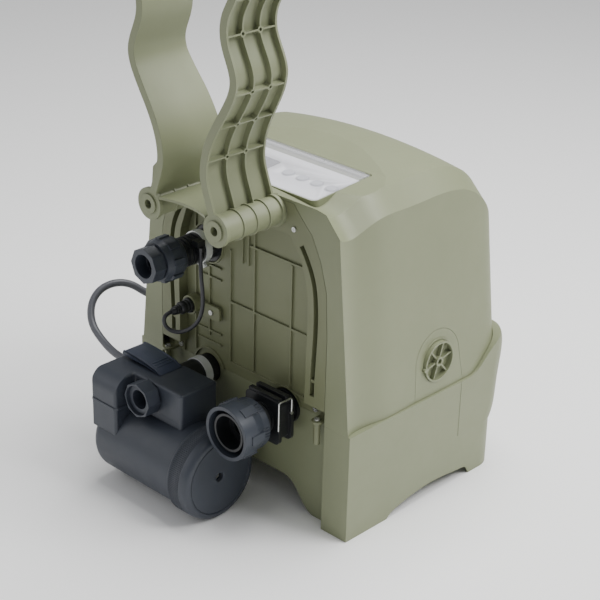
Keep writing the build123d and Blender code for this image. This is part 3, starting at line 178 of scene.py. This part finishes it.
def start_material(name):
    """An empty material and its Object coordinates."""
    material = bpy.data.materials.new(name)
    material.use_nodes = True
    material.node_tree.nodes.clear()
    place = add_node(material, "ShaderNodeTexCoord").outputs["Object"]
    return material, place


def finish_material(material, shader_inputs):
    """Close a material with its Principled shader."""
    shader = add_node(material, "ShaderNodeBsdfPrincipled", shader_inputs)
    add_node(material, "ShaderNodeOutputMaterial", {"Surface": shader.outputs["BSDF"]})
    return material


# %% Moulded plastic
def moulded(name, main, shade, roughness, grain_mm, grain_depth_mm, edge_mm, gloss=0.5):
    """Moulded plastic: cloudy colour, spark-eroded grain, edges rounded by edge_mm."""
    material, place = start_material(name)
    cloud = add_node(material, "ShaderNodeTexNoise",
                     {"Vector": place, "Scale": per_mm(90), "Detail": 4.0, "Roughness": 0.6})
    tone = add_node(material, "ShaderNodeMix",
                    {"Factor": cloud.outputs["Fac"]}, data_type="RGBA")
    # Mix has one set of sockets for each data type, so colours are set by position
    tone.inputs[6].default_value = linear(shade)
    tone.inputs[7].default_value = linear(main)
    scuff = add_node(material, "ShaderNodeTexNoise",
                     {"Vector": place, "Scale": per_mm(25), "Detail": 6.0, "Roughness": 0.7})
    rough = add_node(material, "ShaderNodeMapRange",
                     {"Value": scuff.outputs["Fac"], "From Min": 0.3, "From Max": 0.7,
                      "To Min": roughness - 0.05, "To Max": roughness + 0.06})
    grain = add_node(material, "ShaderNodeTexNoise",
                     {"Vector": place, "Scale": per_mm(grain_mm), "Detail": 3.0})
    rounded = add_node(material, "ShaderNodeBevel", {"Radius": edge_mm / 1000}, samples=4)
    relief = add_node(material, "ShaderNodeBump",
                      {"Height": grain.outputs["Fac"], "Distance": grain_depth_mm / 1000,
                       "Strength": 0.6, "Normal": rounded.outputs["Normal"]})
    return finish_material(material, {
        "Base Color": tone.outputs[2], "Roughness": rough.outputs["Result"],
        "Specular IOR Level": gloss, "IOR": 1.5, "Normal": relief.outputs["Normal"]})


olive_abs = moulded("olive_moulded_abs", "#82876a", "#7b8063", 0.46, 1.4, 0.04, 1.2)
# The rear frame, panel and brackets get a darker copy of the olive plastic: this is painted shade for the
# rear, which faces away from the lights.
olive_painted_rear_shade = moulded("olive_moulded_abs_with_painted_rear_shade", "#74785a", "#6d7153", 0.46, 1.4, 0.04, 1.0)
slate_abs = moulded("slate_moulded_abs", "#363b45", "#30353e", 0.44, 1.4, 0.04, 1.0)
lever_blue = moulded("blue_slate_lever_abs", "#343c4f", "#2f3748", 0.4, 1.4, 0.03, 0.8)
black_nylon = moulded("black_moulded_nylon", "#1c1e21", "#181a1c", 0.36, 2.0, 0.03, 0.7)
white_abs = moulded("white_printed_panel", "#e6e6ea", "#e0e0e5", 0.42, 2.0, 0.01, 0.3)
grey_abs = moulded("grey_moulded_keys", "#a9abb3", "#a3a5ad", 0.45, 2.0, 0.02, 0.6)
rubber = moulded("black_seal_rubber", "#1a1a1b", "#151516", 0.62, 1.0, 0.03, 0.4)

# %% [markdown]
# The lead is soft PVC: a matt grey-black skin that shines along its crest, with a faint
# lengthwise drag from the extruder.  Steel parts are bright zinc: metallic, blotchy in
# roughness where the plating varies.


# %% Cord skin and steel
def cord_skin(name, main, shade):
    """Extruded soft PVC."""
    material, place = start_material(name)
    drag = add_node(material, "ShaderNodeTexNoise",
                    {"Vector": place, "Scale": per_mm(4), "Detail": 5.0, "Roughness": 0.65})
    tone = add_node(material, "ShaderNodeMix", {"Factor": drag.outputs["Fac"]}, data_type="RGBA")
    tone.inputs[6].default_value = linear(shade)
    tone.inputs[7].default_value = linear(main)
    relief = add_node(material, "ShaderNodeBump",
                      {"Height": drag.outputs["Fac"], "Distance": 0.00005, "Strength": 0.5})
    return finish_material(material, {
        "Base Color": tone.outputs[2], "Roughness": 0.42, "Specular IOR Level": 0.5,
        "Normal": relief.outputs["Normal"]})


def plated_steel(name, main, roughness, metal=1.0):
    """Zinc-plated or stainless steel sheet."""
    material, place = start_material(name)
    plating = add_node(material, "ShaderNodeTexNoise",
                       {"Vector": place, "Scale": per_mm(6), "Detail": 6.0, "Roughness": 0.7})
    rough = add_node(material, "ShaderNodeMapRange",
                     {"Value": plating.outputs["Fac"], "From Min": 0.3, "From Max": 0.7,
                      "To Min": roughness - 0.08, "To Max": roughness + 0.1})
    rounded = add_node(material, "ShaderNodeBevel", {"Radius": 0.0003}, samples=4)
    relief = add_node(material, "ShaderNodeBump",
                      {"Height": plating.outputs["Fac"], "Distance": 0.00002, "Strength": 0.5,
                       "Normal": rounded.outputs["Normal"]})
    return finish_material(material, {
        "Base Color": linear(main), "Metallic": metal, "Roughness": rough.outputs["Result"],
        "Normal": relief.outputs["Normal"]})


lead_pvc = cord_skin("grey_soft_pvc_lead", "#55565c", "#4c4d53")
cable_pvc = cord_skin("black_soft_pvc_cable", "#2b2c31", "#242529")
zinc = plated_steel("bright_zinc_steel", "#c9cac8", 0.3)
band_steel = plated_steel("satin_zinc_band", "#dfe2e0", 0.36, 0.45)

# %% [markdown]
# The lid is clear polycarbonate.  Its see-through share is set as opacity instead of
# refraction, so the light still reaches the white panel below it.


# %% Clear lid, display glass and filter paper
def clear_sheet(name, tint, opacity, roughness):
    """Clear moulded sheet that lets light through."""
    material, place = start_material(name)
    haze = add_node(material, "ShaderNodeTexNoise",
                    {"Vector": place, "Scale": per_mm(30), "Detail": 3.0})
    rough = add_node(material, "ShaderNodeMapRange",
                     {"Value": haze.outputs["Fac"], "To Min": roughness, "To Max": roughness + 0.06})
    return finish_material(material, {
        "Base Color": linear(tint), "Roughness": rough.outputs["Result"], "IOR": 1.58,
        "Alpha": opacity, "Coat Weight": 0.4, "Coat Roughness": 0.05})


clear_pc = clear_sheet("clear_polycarbonate", "#f6f6fa", 0.2, 0.06)
display_glass = moulded("smoked_display_glass", "#30343c", "#2b2f36", 0.12, 4.0, 0.0, 0.3)


def pleated_paper(name):
    """Folded polyester filter fleece."""
    material, place = start_material(name)
    fibre = add_node(material, "ShaderNodeTexNoise",
                     {"Vector": place, "Scale": per_mm(2), "Detail": 8.0, "Roughness": 0.8})
    relief = add_node(material, "ShaderNodeBump",
                      {"Height": fibre.outputs["Fac"], "Distance": 0.0003, "Strength": 0.8})
    return finish_material(material, {"Base Color": linear("#e8eaec"), "Roughness": 0.9,
                                      "Normal": relief.outputs["Normal"]})


filter_fleece = pleated_paper("white_filter_fleece")
blue_cap = moulded("blue_filter_end_cap", "#2f5a96", "#2a5188", 0.5, 2.0, 0.02, 0.5)
board_green = moulded("green_circuit_board", "#1f5a3a", "#1b5034", 0.4, 3.0, 0.02, 0.2)

# %% Finishes of the frame's own nodes
FINISHES = {
    olive_abs: ["base_shell", "cover_shell", "side_hatch", "arm_shelf", "arm_right", "arm_left",
                "hinge_pin_left", "hinge_pin_right", "access_cap", "control_tray"],
    # The darker olive of these rear parts is painted shade.
    olive_painted_rear_shade: ["rear_frame", "rear_panel", "cable_bracket", "corner_brackets"],
    lever_blue: ["latch_lever"],
    slate_abs: ["canister_body", "canister_cap", "head_lower", "head_upper", "outlet_nut",
                "air_nozzle", "inlet_nut", "inlet_pipe", "air_nut"],
    black_nylon: ["air_port", "outlet_port", "outlet_latch", "filter_outlet", "head_gland",
                  "wall_gland", "cable_plug", "blower_housing", "blower_fan", "control_box",
                  "pump_motor", "impeller", "air_pipe", "sensor_stub"],
    grey_abs: ["button_1", "button_2", "button_3", "button_4"],
    zinc: ["lid_hinge_pin", "clamp_screws", "cap_screw", "latch_pin", "wire_clip", "rear_screws",
           "heater_tube", "heater_element"],
    band_steel: ["air_clamp", "filter_clamp"],
    rubber: ["cap_seal"],
    clear_pc: ["clear_lid"],
    display_glass: ["display_window"],
    filter_fleece: ["filter_cartridge"],
    blue_cap: ["cartridge_ends"],
    board_green: ["control_board"],
}
for finish, names in FINISHES.items():
    for name in names:
        for place in frame["nodes"][name].material_slots:
            place.material = finish
lead.data.materials.append(lead_pvc)
cable.data.materials.append(cable_pvc)

# %% [markdown]
# ## Turned pieces
#
# A screw cap, a ribbed sleeve and a plug are bodies of revolution.  Each starts as a chain of
# points, (place along the axis, radius), which the Spin tool carries once round.  Spin leaves
# doubled points where it closes, so they are merged, and the faces are turned outwards.


# %% Spin a closed outline round an axis
def deselect_all():
    """Leave nothing selected, so that the next operator acts only on the new piece."""
    for piece in bpy.data.objects:
        piece.select_set(False)


def spun(name, outline, steps, origin, direction):
    """Body of revolution: outline points are (along, radius) on the axis from origin."""
    deselect_all()
    mesh = bpy.data.meshes.new(name)
    count = len(outline)
    mesh.from_pydata([(r, 0, along) for along, r in outline], [(i, (i + 1) % count) for i in range(count)],
                     [])
    piece = bpy.data.objects.new(name, mesh)
    bpy.context.collection.objects.link(piece)
    bpy.context.view_layer.objects.active = piece
    piece.select_set(True)
    bpy.ops.object.mode_set(mode="EDIT")
    bpy.ops.mesh.select_all(action="SELECT")
    bpy.ops.mesh.spin(steps=steps, angle=2 * pi, center=(0, 0, 0), axis=(0, 0, 1))
    bpy.ops.mesh.select_all(action="SELECT")
    bpy.ops.mesh.remove_doubles(threshold=0.00002)
    bpy.ops.mesh.normals_make_consistent(inside=False)
    bpy.ops.object.mode_set(mode="OBJECT")
    turn = Vector((0, 0, 1)).rotation_difference(Vector(direction)).to_matrix().to_4x4()
    mesh.transform(Matrix.Translation(origin) @ turn)
    bpy.ops.object.shade_smooth_by_angle(angle=radians(35))
    print(name, "faces", len(mesh.polygons))
    return piece


# %% [markdown]
# The canister's screw cap has a knurled rim for the hand, a ring groove in its face and a
# deep hole with a bright vent screw.  The knurl is cut in after spinning: every second face
# of the rim is pushed in, which leaves square ribs as an injection mould makes them.

# %% Knurled canister cap
CAP_LOW, CAP_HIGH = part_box("canister_cap")
CAP_R = (CAP_HIGH.z - CAP_LOW.z) / 2
CAP_MIDDLE = (CAP_LOW + CAP_HIGH) / 2
CAP_DEPTH = CAP_HIGH.x - CAP_LOW.x
KNURL_DEPTH = 0.0009
RIBS = 150

cap_outline = [(0, CAP_R - 0.0042), (0, CAP_R - 0.0012), (0.0015, CAP_R), (0.004, CAP_R),
               (0.027, CAP_R), (0.029, CAP_R - 0.0002), (CAP_DEPTH - 0.009, CAP_R - 0.0005),
               (CAP_DEPTH - 0.004, CAP_R - 0.0018), (CAP_DEPTH - 0.001, CAP_R - 0.0048),
               (CAP_DEPTH, CAP_R - 0.0085), (CAP_DEPTH, CAP_R - 0.0115),
               (CAP_DEPTH - 0.0013, CAP_R - 0.0119), (CAP_DEPTH - 0.0013, CAP_R - 0.0131),
               (CAP_DEPTH - 0.0003, CAP_R - 0.0135), (CAP_DEPTH - 0.0012, 0.0085),
               (CAP_DEPTH - 0.0022, 0.0075), (CAP_DEPTH - 0.0089, 0.0075),
               (CAP_DEPTH - 0.0089, CAP_R - 0.0046)]
cap = spun("knurled_cap", cap_outline, 2 * RIBS, (CAP_LOW.x, CAP_MIDDLE.y, CAP_MIDDLE.z), (1, 0, 0))
bpy.ops.object.mode_set(mode="EDIT")
bpy.ops.mesh.select_all(action="DESELECT")
rim = bmesh.from_edit_mesh(cap.data)
for face in rim.faces:
    centre = face.calc_center_median() - Vector((CAP_LOW.x, CAP_MIDDLE.y, CAP_MIDDLE.z))
    angle = centre.yz.angle_signed(Vector((1, 0))) % (2 * pi)
    in_band = 0.005 < centre.x < 0.026 and centre.yz.length > CAP_R - 0.001
    face.select_set(in_band and int(angle * RIBS / pi) % 2 == 0)
bmesh.update_edit_mesh(cap.data)
bpy.ops.mesh.extrude_region_shrink_fatten(TRANSFORM_OT_shrink_fatten={"value": -KNURL_DEPTH})
bpy.ops.object.mode_set(mode="OBJECT")
cap.data.materials.append(slate_abs)
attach(cap, "canister_cap")
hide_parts("canister_cap")

# %% [markdown]
# Both ends of the lead sit in ribbed sleeves, and the cable ends in a plug with grip
# rings.  The rings are part of the outline, so one spin makes the whole sleeve.


# %% Ribbed sleeves and the plug
def ribbed_outline(length, r_base, r_tip, r_bore, rings):
    """Tapered sleeve with rounded rings, from base to tip."""
    outline = [(0, r_bore), (0, r_base)]
    for ring in range(rings):
        start = length * (0.15 + 0.8 * ring / rings)
        end = length * (0.15 + 0.8 * (ring + 0.6) / rings)
        r = r_base + (r_tip - r_base) * start / length
        outline += [(start, r - 0.0012), (start + 0.0006, r), (end - 0.0006, r - 0.0001), (end, r - 0.0012)]
    return outline + [(length, r_tip - 0.0008), (length, r_bore)]


def sleeve(name, node, tip, towards, length, r_base, r_tip, r_bore, rings):
    """A ribbed sleeve that ends at tip, where the cord comes out."""
    direction = Vector(towards).normalized()
    base = Vector(tip) - direction * length
    piece = spun(name, ribbed_outline(length, r_base, r_tip, r_bore, rings), 48, base, direction)
    piece.data.materials.append(black_nylon)
    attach(piece, "housing")
    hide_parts(node)
    return piece


lead_end = Vector(LEAD_ROUTE[-2]) - Vector(LEAD_ROUTE[-1])
head_sleeve = sleeve("head_sleeve", "head_gland", LEAD_ROUTE[0], (-1, 0, 0), 0.014, 0.011, 0.0088,
                     LEAD_D / 2, 3)
wall_sleeve = sleeve("wall_sleeve", "wall_gland", LEAD_ROUTE[-1], lead_end, 0.020, 0.0125, 0.0088,
                     LEAD_D / 2, 4)
PLUG_LOW, PLUG_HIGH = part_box("cable_plug")
plug_centre = (PLUG_LOW + PLUG_HIGH) / 2
plug_outline = [(0, 0.0015), (0, 0.0105), (0.014, 0.0105), (0.0145, 0.0124), (0.0205, 0.0124),
                (0.021, 0.0105), (0.0255, 0.0105), (0.026, 0.0098), (0.029, 0.0098), (0.0295, 0.0105),
                (0.035, 0.0105), (0.0365, 0.0095), (0.0375, 0.0078), (0.040, 0.0078), (0.0405, 0.0066),
                (0.042, 0.0066), (0.0425, 0.0078), (0.045, 0.0074), (0.0455, 0.0062), (0.0475, 0.0062),
                (0.048, 0.007), (0.0505, 0.0064), (0.0525, 0.005), (0.0546, 0.0042), (0.0546, 0.0015)]
plug = spun("ringed_plug", plug_outline, 48, (plug_centre.x, PLUG_HIGH.y, plug_centre.z), (0, -1, 0))
plug.data.materials.append(black_nylon)
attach(plug, "housing")
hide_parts("cable_plug")

# %% [markdown]
# ## Control panel
#
# Under the lid lies a white printed plate with holes for the four keys and the display.  It
# is a rounded block from which cutters take the holes, and each key has a soft ring round
# it.  The pieces are made level, at the lid's own origin, and then tilted into place.


# %% Rounded blocks and the lid's own place
def rounded_block(name, size, middle, edge, steps=3):
    """Block with all its edges rounded."""
    deselect_all()
    bpy.ops.mesh.primitive_cube_add(size=1, location=middle, scale=size)
    piece = bpy.context.object
    piece.name = name
    bpy.ops.object.transform_apply(location=True, rotation=True, scale=True)
    rounding = piece.modifiers.new("rounding", "BEVEL")
    rounding.width = edge
    rounding.segments = steps
    bpy.ops.object.modifier_apply(modifier="rounding")
    bpy.ops.object.shade_smooth_by_angle(angle=radians(40))
    return piece


def joined(name, pieces):
    """Several pieces as one."""
    deselect_all()
    for piece in pieces:
        piece.select_set(True)
    bpy.context.view_layer.objects.active = pieces[0]
    bpy.ops.object.join()
    pieces[0].name = name
    return pieces[0]


def dress(piece, finish, body):
    """Give a new piece its finish and the body that it rides on."""
    piece.data.materials.clear()
    piece.data.materials.append(finish)
    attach(piece, body)


LID_TILT = radians(4)
lid_place = Matrix.Translation((0, -0.0956, 0.5325)) @ Matrix.Rotation(LID_TILT, 4, "X")
PANEL_FLOOR = -0.0115
KEY_X = (0.018, 0.048, 0.078, 0.108)
KEY_Y = 0.062
KEY_R = 0.009

# %% White plate with its holes
plate = rounded_block("panel_plate", (0.250, 0.104, 0.0012), (0, 0.060, PANEL_FLOOR + 0.0005), 0.0004)
cutters = [rounded_block("display_cutter", (0.0872, 0.0472, 0.01), (-0.062, KEY_Y, PANEL_FLOOR), 0.003)]
for x in KEY_X:
    deselect_all()
    bpy.ops.mesh.primitive_cylinder_add(vertices=48, radius=KEY_R + 0.0005, depth=0.01,
                                        location=(x, KEY_Y, PANEL_FLOOR))
    cutters.append(bpy.context.object)
cutter = joined("plate_cutters", cutters)
bpy.context.view_layer.objects.active = plate
holes = plate.modifiers.new("holes", "BOOLEAN")
holes.operation = "DIFFERENCE"
holes.object = cutter
bpy.ops.object.modifier_apply(modifier="holes")
bpy.data.objects.remove(cutter)
plate.data.transform(lid_place)
dress(plate, white_abs, "housing")

# %% Rings round the keys
rings = []
for x in KEY_X:
    deselect_all()
    bpy.ops.mesh.primitive_torus_add(major_radius=KEY_R + 0.0014, minor_radius=0.0007, major_segments=48,
                                     minor_segments=10, location=(x, KEY_Y, PANEL_FLOOR + 0.0011))
    rings.append(bpy.context.object)
key_rings = joined("key_rings", rings)
bpy.ops.object.transform_apply(location=True, rotation=True, scale=True)
key_rings.data.transform(lid_place)
dress(key_rings, grey_abs, "housing")

# %% [markdown]
# ## Latch lever
#
# The lever that holds the head shut is a bowed strap with three thumb ribs near its free
# end and a stiffening flange along each side.  Its side view is drawn once as a chain of
# points and carried across by Extrude; the thumb ribs are small rounded blocks.


# %% A bar from its side view
def bar_along_y(name, outline, y_low, y_high, edge):
    """Bar with a constant side view of (x, z) points, with rounded edges."""
    deselect_all()
    mesh = bpy.data.meshes.new(name)
    mesh.from_pydata([(x, y_low, z) for x, z in outline], [], [list(range(len(outline)))])
    piece = bpy.data.objects.new(name, mesh)
    bpy.context.collection.objects.link(piece)
    bpy.context.view_layer.objects.active = piece
    piece.select_set(True)
    bpy.ops.object.mode_set(mode="EDIT")
    bpy.ops.mesh.select_all(action="SELECT")
    bpy.ops.mesh.extrude_region_move(TRANSFORM_OT_translate={"value": (0, y_high - y_low, 0)})
    bpy.ops.mesh.select_all(action="SELECT")
    bpy.ops.mesh.normals_make_consistent(inside=False)
    bpy.ops.object.mode_set(mode="OBJECT")
    rounding = piece.modifiers.new("rounding", "BEVEL")
    rounding.width = edge
    rounding.segments = 3
    rounding.limit_method = "ANGLE"
    bpy.ops.object.modifier_apply(modifier="rounding")
    bpy.ops.object.shade_smooth_by_angle(angle=radians(40))
    return piece


# %% Lever with its flanges and grip
LEVER_LOW, LEVER_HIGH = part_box("latch_lever")
LEVER_EDGE = 0.0008        # rounding of the strap and of the grip ribs
FLANGE_EDGE = 0.0006
FLANGE_T = 0.003           # thickness of each side flange
GRIP_SIZE = (0.0022, 0.034, 0.0022)
strap_top = [(-0.1762, 0.2075), (-0.1745, 0.2115), (-0.168, 0.2138), (-0.146, 0.2132), (-0.122, 0.2108),
             (-0.100, 0.2075), (-0.088, 0.2028), (-0.0842, 0.2006)]
strap_low = [(-0.0882, 0.2006), (-0.101, 0.2040), (-0.123, 0.2072), (-0.147, 0.2094), (-0.166, 0.2104),
             (-0.1700, 0.2106)]
strap = bar_along_y("strap", strap_top + strap_low, LEVER_LOW.y, LEVER_HIGH.y, LEVER_EDGE)
flange_line = [(-0.1768, 0.2080), (-0.1745, 0.2128), (-0.167, 0.2139), (-0.122, 0.2116), (-0.097, 0.2075),
               (-0.0846, 0.2010), (-0.0880, 0.2005), (-0.120, 0.2046), (-0.166, 0.2046), (-0.1745, 0.2036)]
flanges = [bar_along_y("flange", flange_line, y, y + FLANGE_T, FLANGE_EDGE)
           for y in (LEVER_LOW.y, LEVER_HIGH.y - FLANGE_T)]
LEVER_MIDDLE_Y = (LEVER_LOW.y + LEVER_HIGH.y) / 2
grips = [rounded_block("grip", GRIP_SIZE, (x, LEVER_MIDDLE_Y, z), LEVER_EDGE)
         for x, z in ((-0.112, 0.2093), (-0.106, 0.2083), (-0.100, 0.2072))]
lever = joined("strap_lever", [strap, *flanges, *grips])
dress(lever, lever_blue, "latch_lever")
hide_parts("latch_lever")

# %% [markdown]
# ## Moulded ribs and rims
#
# The big union nut is gripped by groups of fine ribs, and a moulded lip runs round the pump
# end of the filter head where its two halves meet.  The lip is a chain of points round the
# head, extruded upwards and rounded.

# %% Grip ribs on the union nut
NUT_RIB_R = 0.0405         # middle of the ribs, from the nut's axis
NUT_RIB_SIZE = (0.0016, 0.015, 0.0016)
NUT_RIB_BACK = 0.0085      # middle of the ribs, from the nut's rear end
NUT_RIB_STEP = radians(7)
GROUPS = 6
RIBS_IN_GROUP = 4
NUT_LOW, NUT_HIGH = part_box("outlet_nut")
nut_centre = (NUT_LOW + NUT_HIGH) / 2
nut_ribs = []
for group in range(GROUPS):
    for rib in range(RIBS_IN_GROUP):
        angle = 2 * pi * (group + 0.5) / GROUPS + NUT_RIB_STEP * (rib - (RIBS_IN_GROUP - 1) / 2)
        piece = rounded_block("rib", NUT_RIB_SIZE, (0, 0, NUT_RIB_R), 0.0005, 2)
        on_nut = Matrix.Translation((nut_centre.x, NUT_HIGH.y - NUT_RIB_BACK, nut_centre.z))
        piece.data.transform(on_nut @ Matrix.Rotation(angle, 4, "Y"))
        nut_ribs.append(piece)
union_ribs = joined("union_nut_ribs", nut_ribs)
dress(union_ribs, slate_abs, "outlet_nut")

# %% Lip round the pump end of the head
HEAD_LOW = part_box("head_upper")[0]
LIP_OUT = 0.0016           # how far the lip stands out of the head
LIP_IN = 0.003             # how far it reaches into the wall
LIP_HIGH = 0.0045
LIP_SIDE = 0.075           # length of the lip along the head's left side
LOBE_WIDE = 0.060
LOBE_DEEP = 0.039


def bar_along_z(name, outline, z_low, z_high, edge):
    """Bar with a constant plan of (x, y) points, with rounded edges."""
    piece = bar_along_y(name, [(x, -y) for x, y in outline], z_low, z_high, edge)
    piece.data.transform(Matrix.Rotation(radians(90), 4, "X"))
    return piece


lobe_left = HEAD_LOW.x
lobe_right = HEAD_LOW.x + LOBE_WIDE
lobe_front = HEAD_LOW.y
lip_plan = [(lobe_left - LIP_OUT, lobe_front + LIP_SIDE), (lobe_left - LIP_OUT, lobe_front + 0.004),
            (lobe_left + 0.004, lobe_front - LIP_OUT), (lobe_right - 0.004, lobe_front - LIP_OUT),
            (lobe_right + LIP_OUT, lobe_front + 0.004), (lobe_right + LIP_OUT, lobe_front + LOBE_DEEP),
            (lobe_right - LIP_IN, lobe_front + LOBE_DEEP), (lobe_right - LIP_IN, lobe_front + 0.0045),
            (lobe_left + LIP_IN, lobe_front + 0.0045), (lobe_left + LIP_IN, lobe_front + LIP_SIDE)]
lip = bar_along_z("head_lip", lip_plan, HEAD_LOW.z - LIP_HIGH, HEAD_LOW.z, 0.0008)
dress(lip, slate_abs, "housing")
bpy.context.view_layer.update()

# %% [markdown]
# ## Studio
#
# A pale floor that runs far back, two broad lights from above and from the front right of
# the unit, and a weak fill at the rear left, so that the recessed rear falls into soft shade.  The rear
# parts' darker olive adds painted shade to it.


# %% Floor and lights
def aim(piece, target):
    """Turn a light's -Z towards a point."""
    piece.rotation_euler = (Vector(target) - piece.location).to_track_quat("-Z", "Y").to_euler()


deselect_all()
bpy.ops.mesh.primitive_plane_add(size=14, location=(0, 0, -0.0002))
floor = bpy.context.object
floor.name = "studio_floor"
floor_paint, floor_place = start_material("pale_studio_floor")
floor_cloud = add_node(floor_paint, "ShaderNodeTexNoise", {"Vector": floor_place, "Scale": 2.0})
floor_rough = add_node(floor_paint, "ShaderNodeMapRange",
                       {"Value": floor_cloud.outputs["Fac"], "To Min": 0.65, "To Max": 0.75})
finish_material(floor_paint, {"Base Color": linear("#fbfbfa"), "Roughness": floor_rough.outputs["Result"]})
floor.data.materials.append(floor_paint)

MIDDLE = (0, 0, 0.3)
for name, place, size, power in (("key", (1.9, 1.0, 2.5), 1.4, 70), ("top", (0.1, 0.6, 2.9), 1.8, 88),
                                 ("fill", (-1.8, -2.0, 1.5), 2.0, 14)):
    bpy.ops.object.light_add(type="AREA", location=place)
    light = bpy.context.object
    light.name = name
    light.data.size = size
    light.data.energy = power
    aim(light, MIDDLE)

world = bpy.data.worlds.new("studio_air")
bpy.context.scene.world = world
world.use_nodes = True
world.node_tree.nodes["Background"].inputs["Color"].default_value = linear("#f3f4f6")
world.node_tree.nodes["Background"].inputs["Strength"].default_value = 0.48
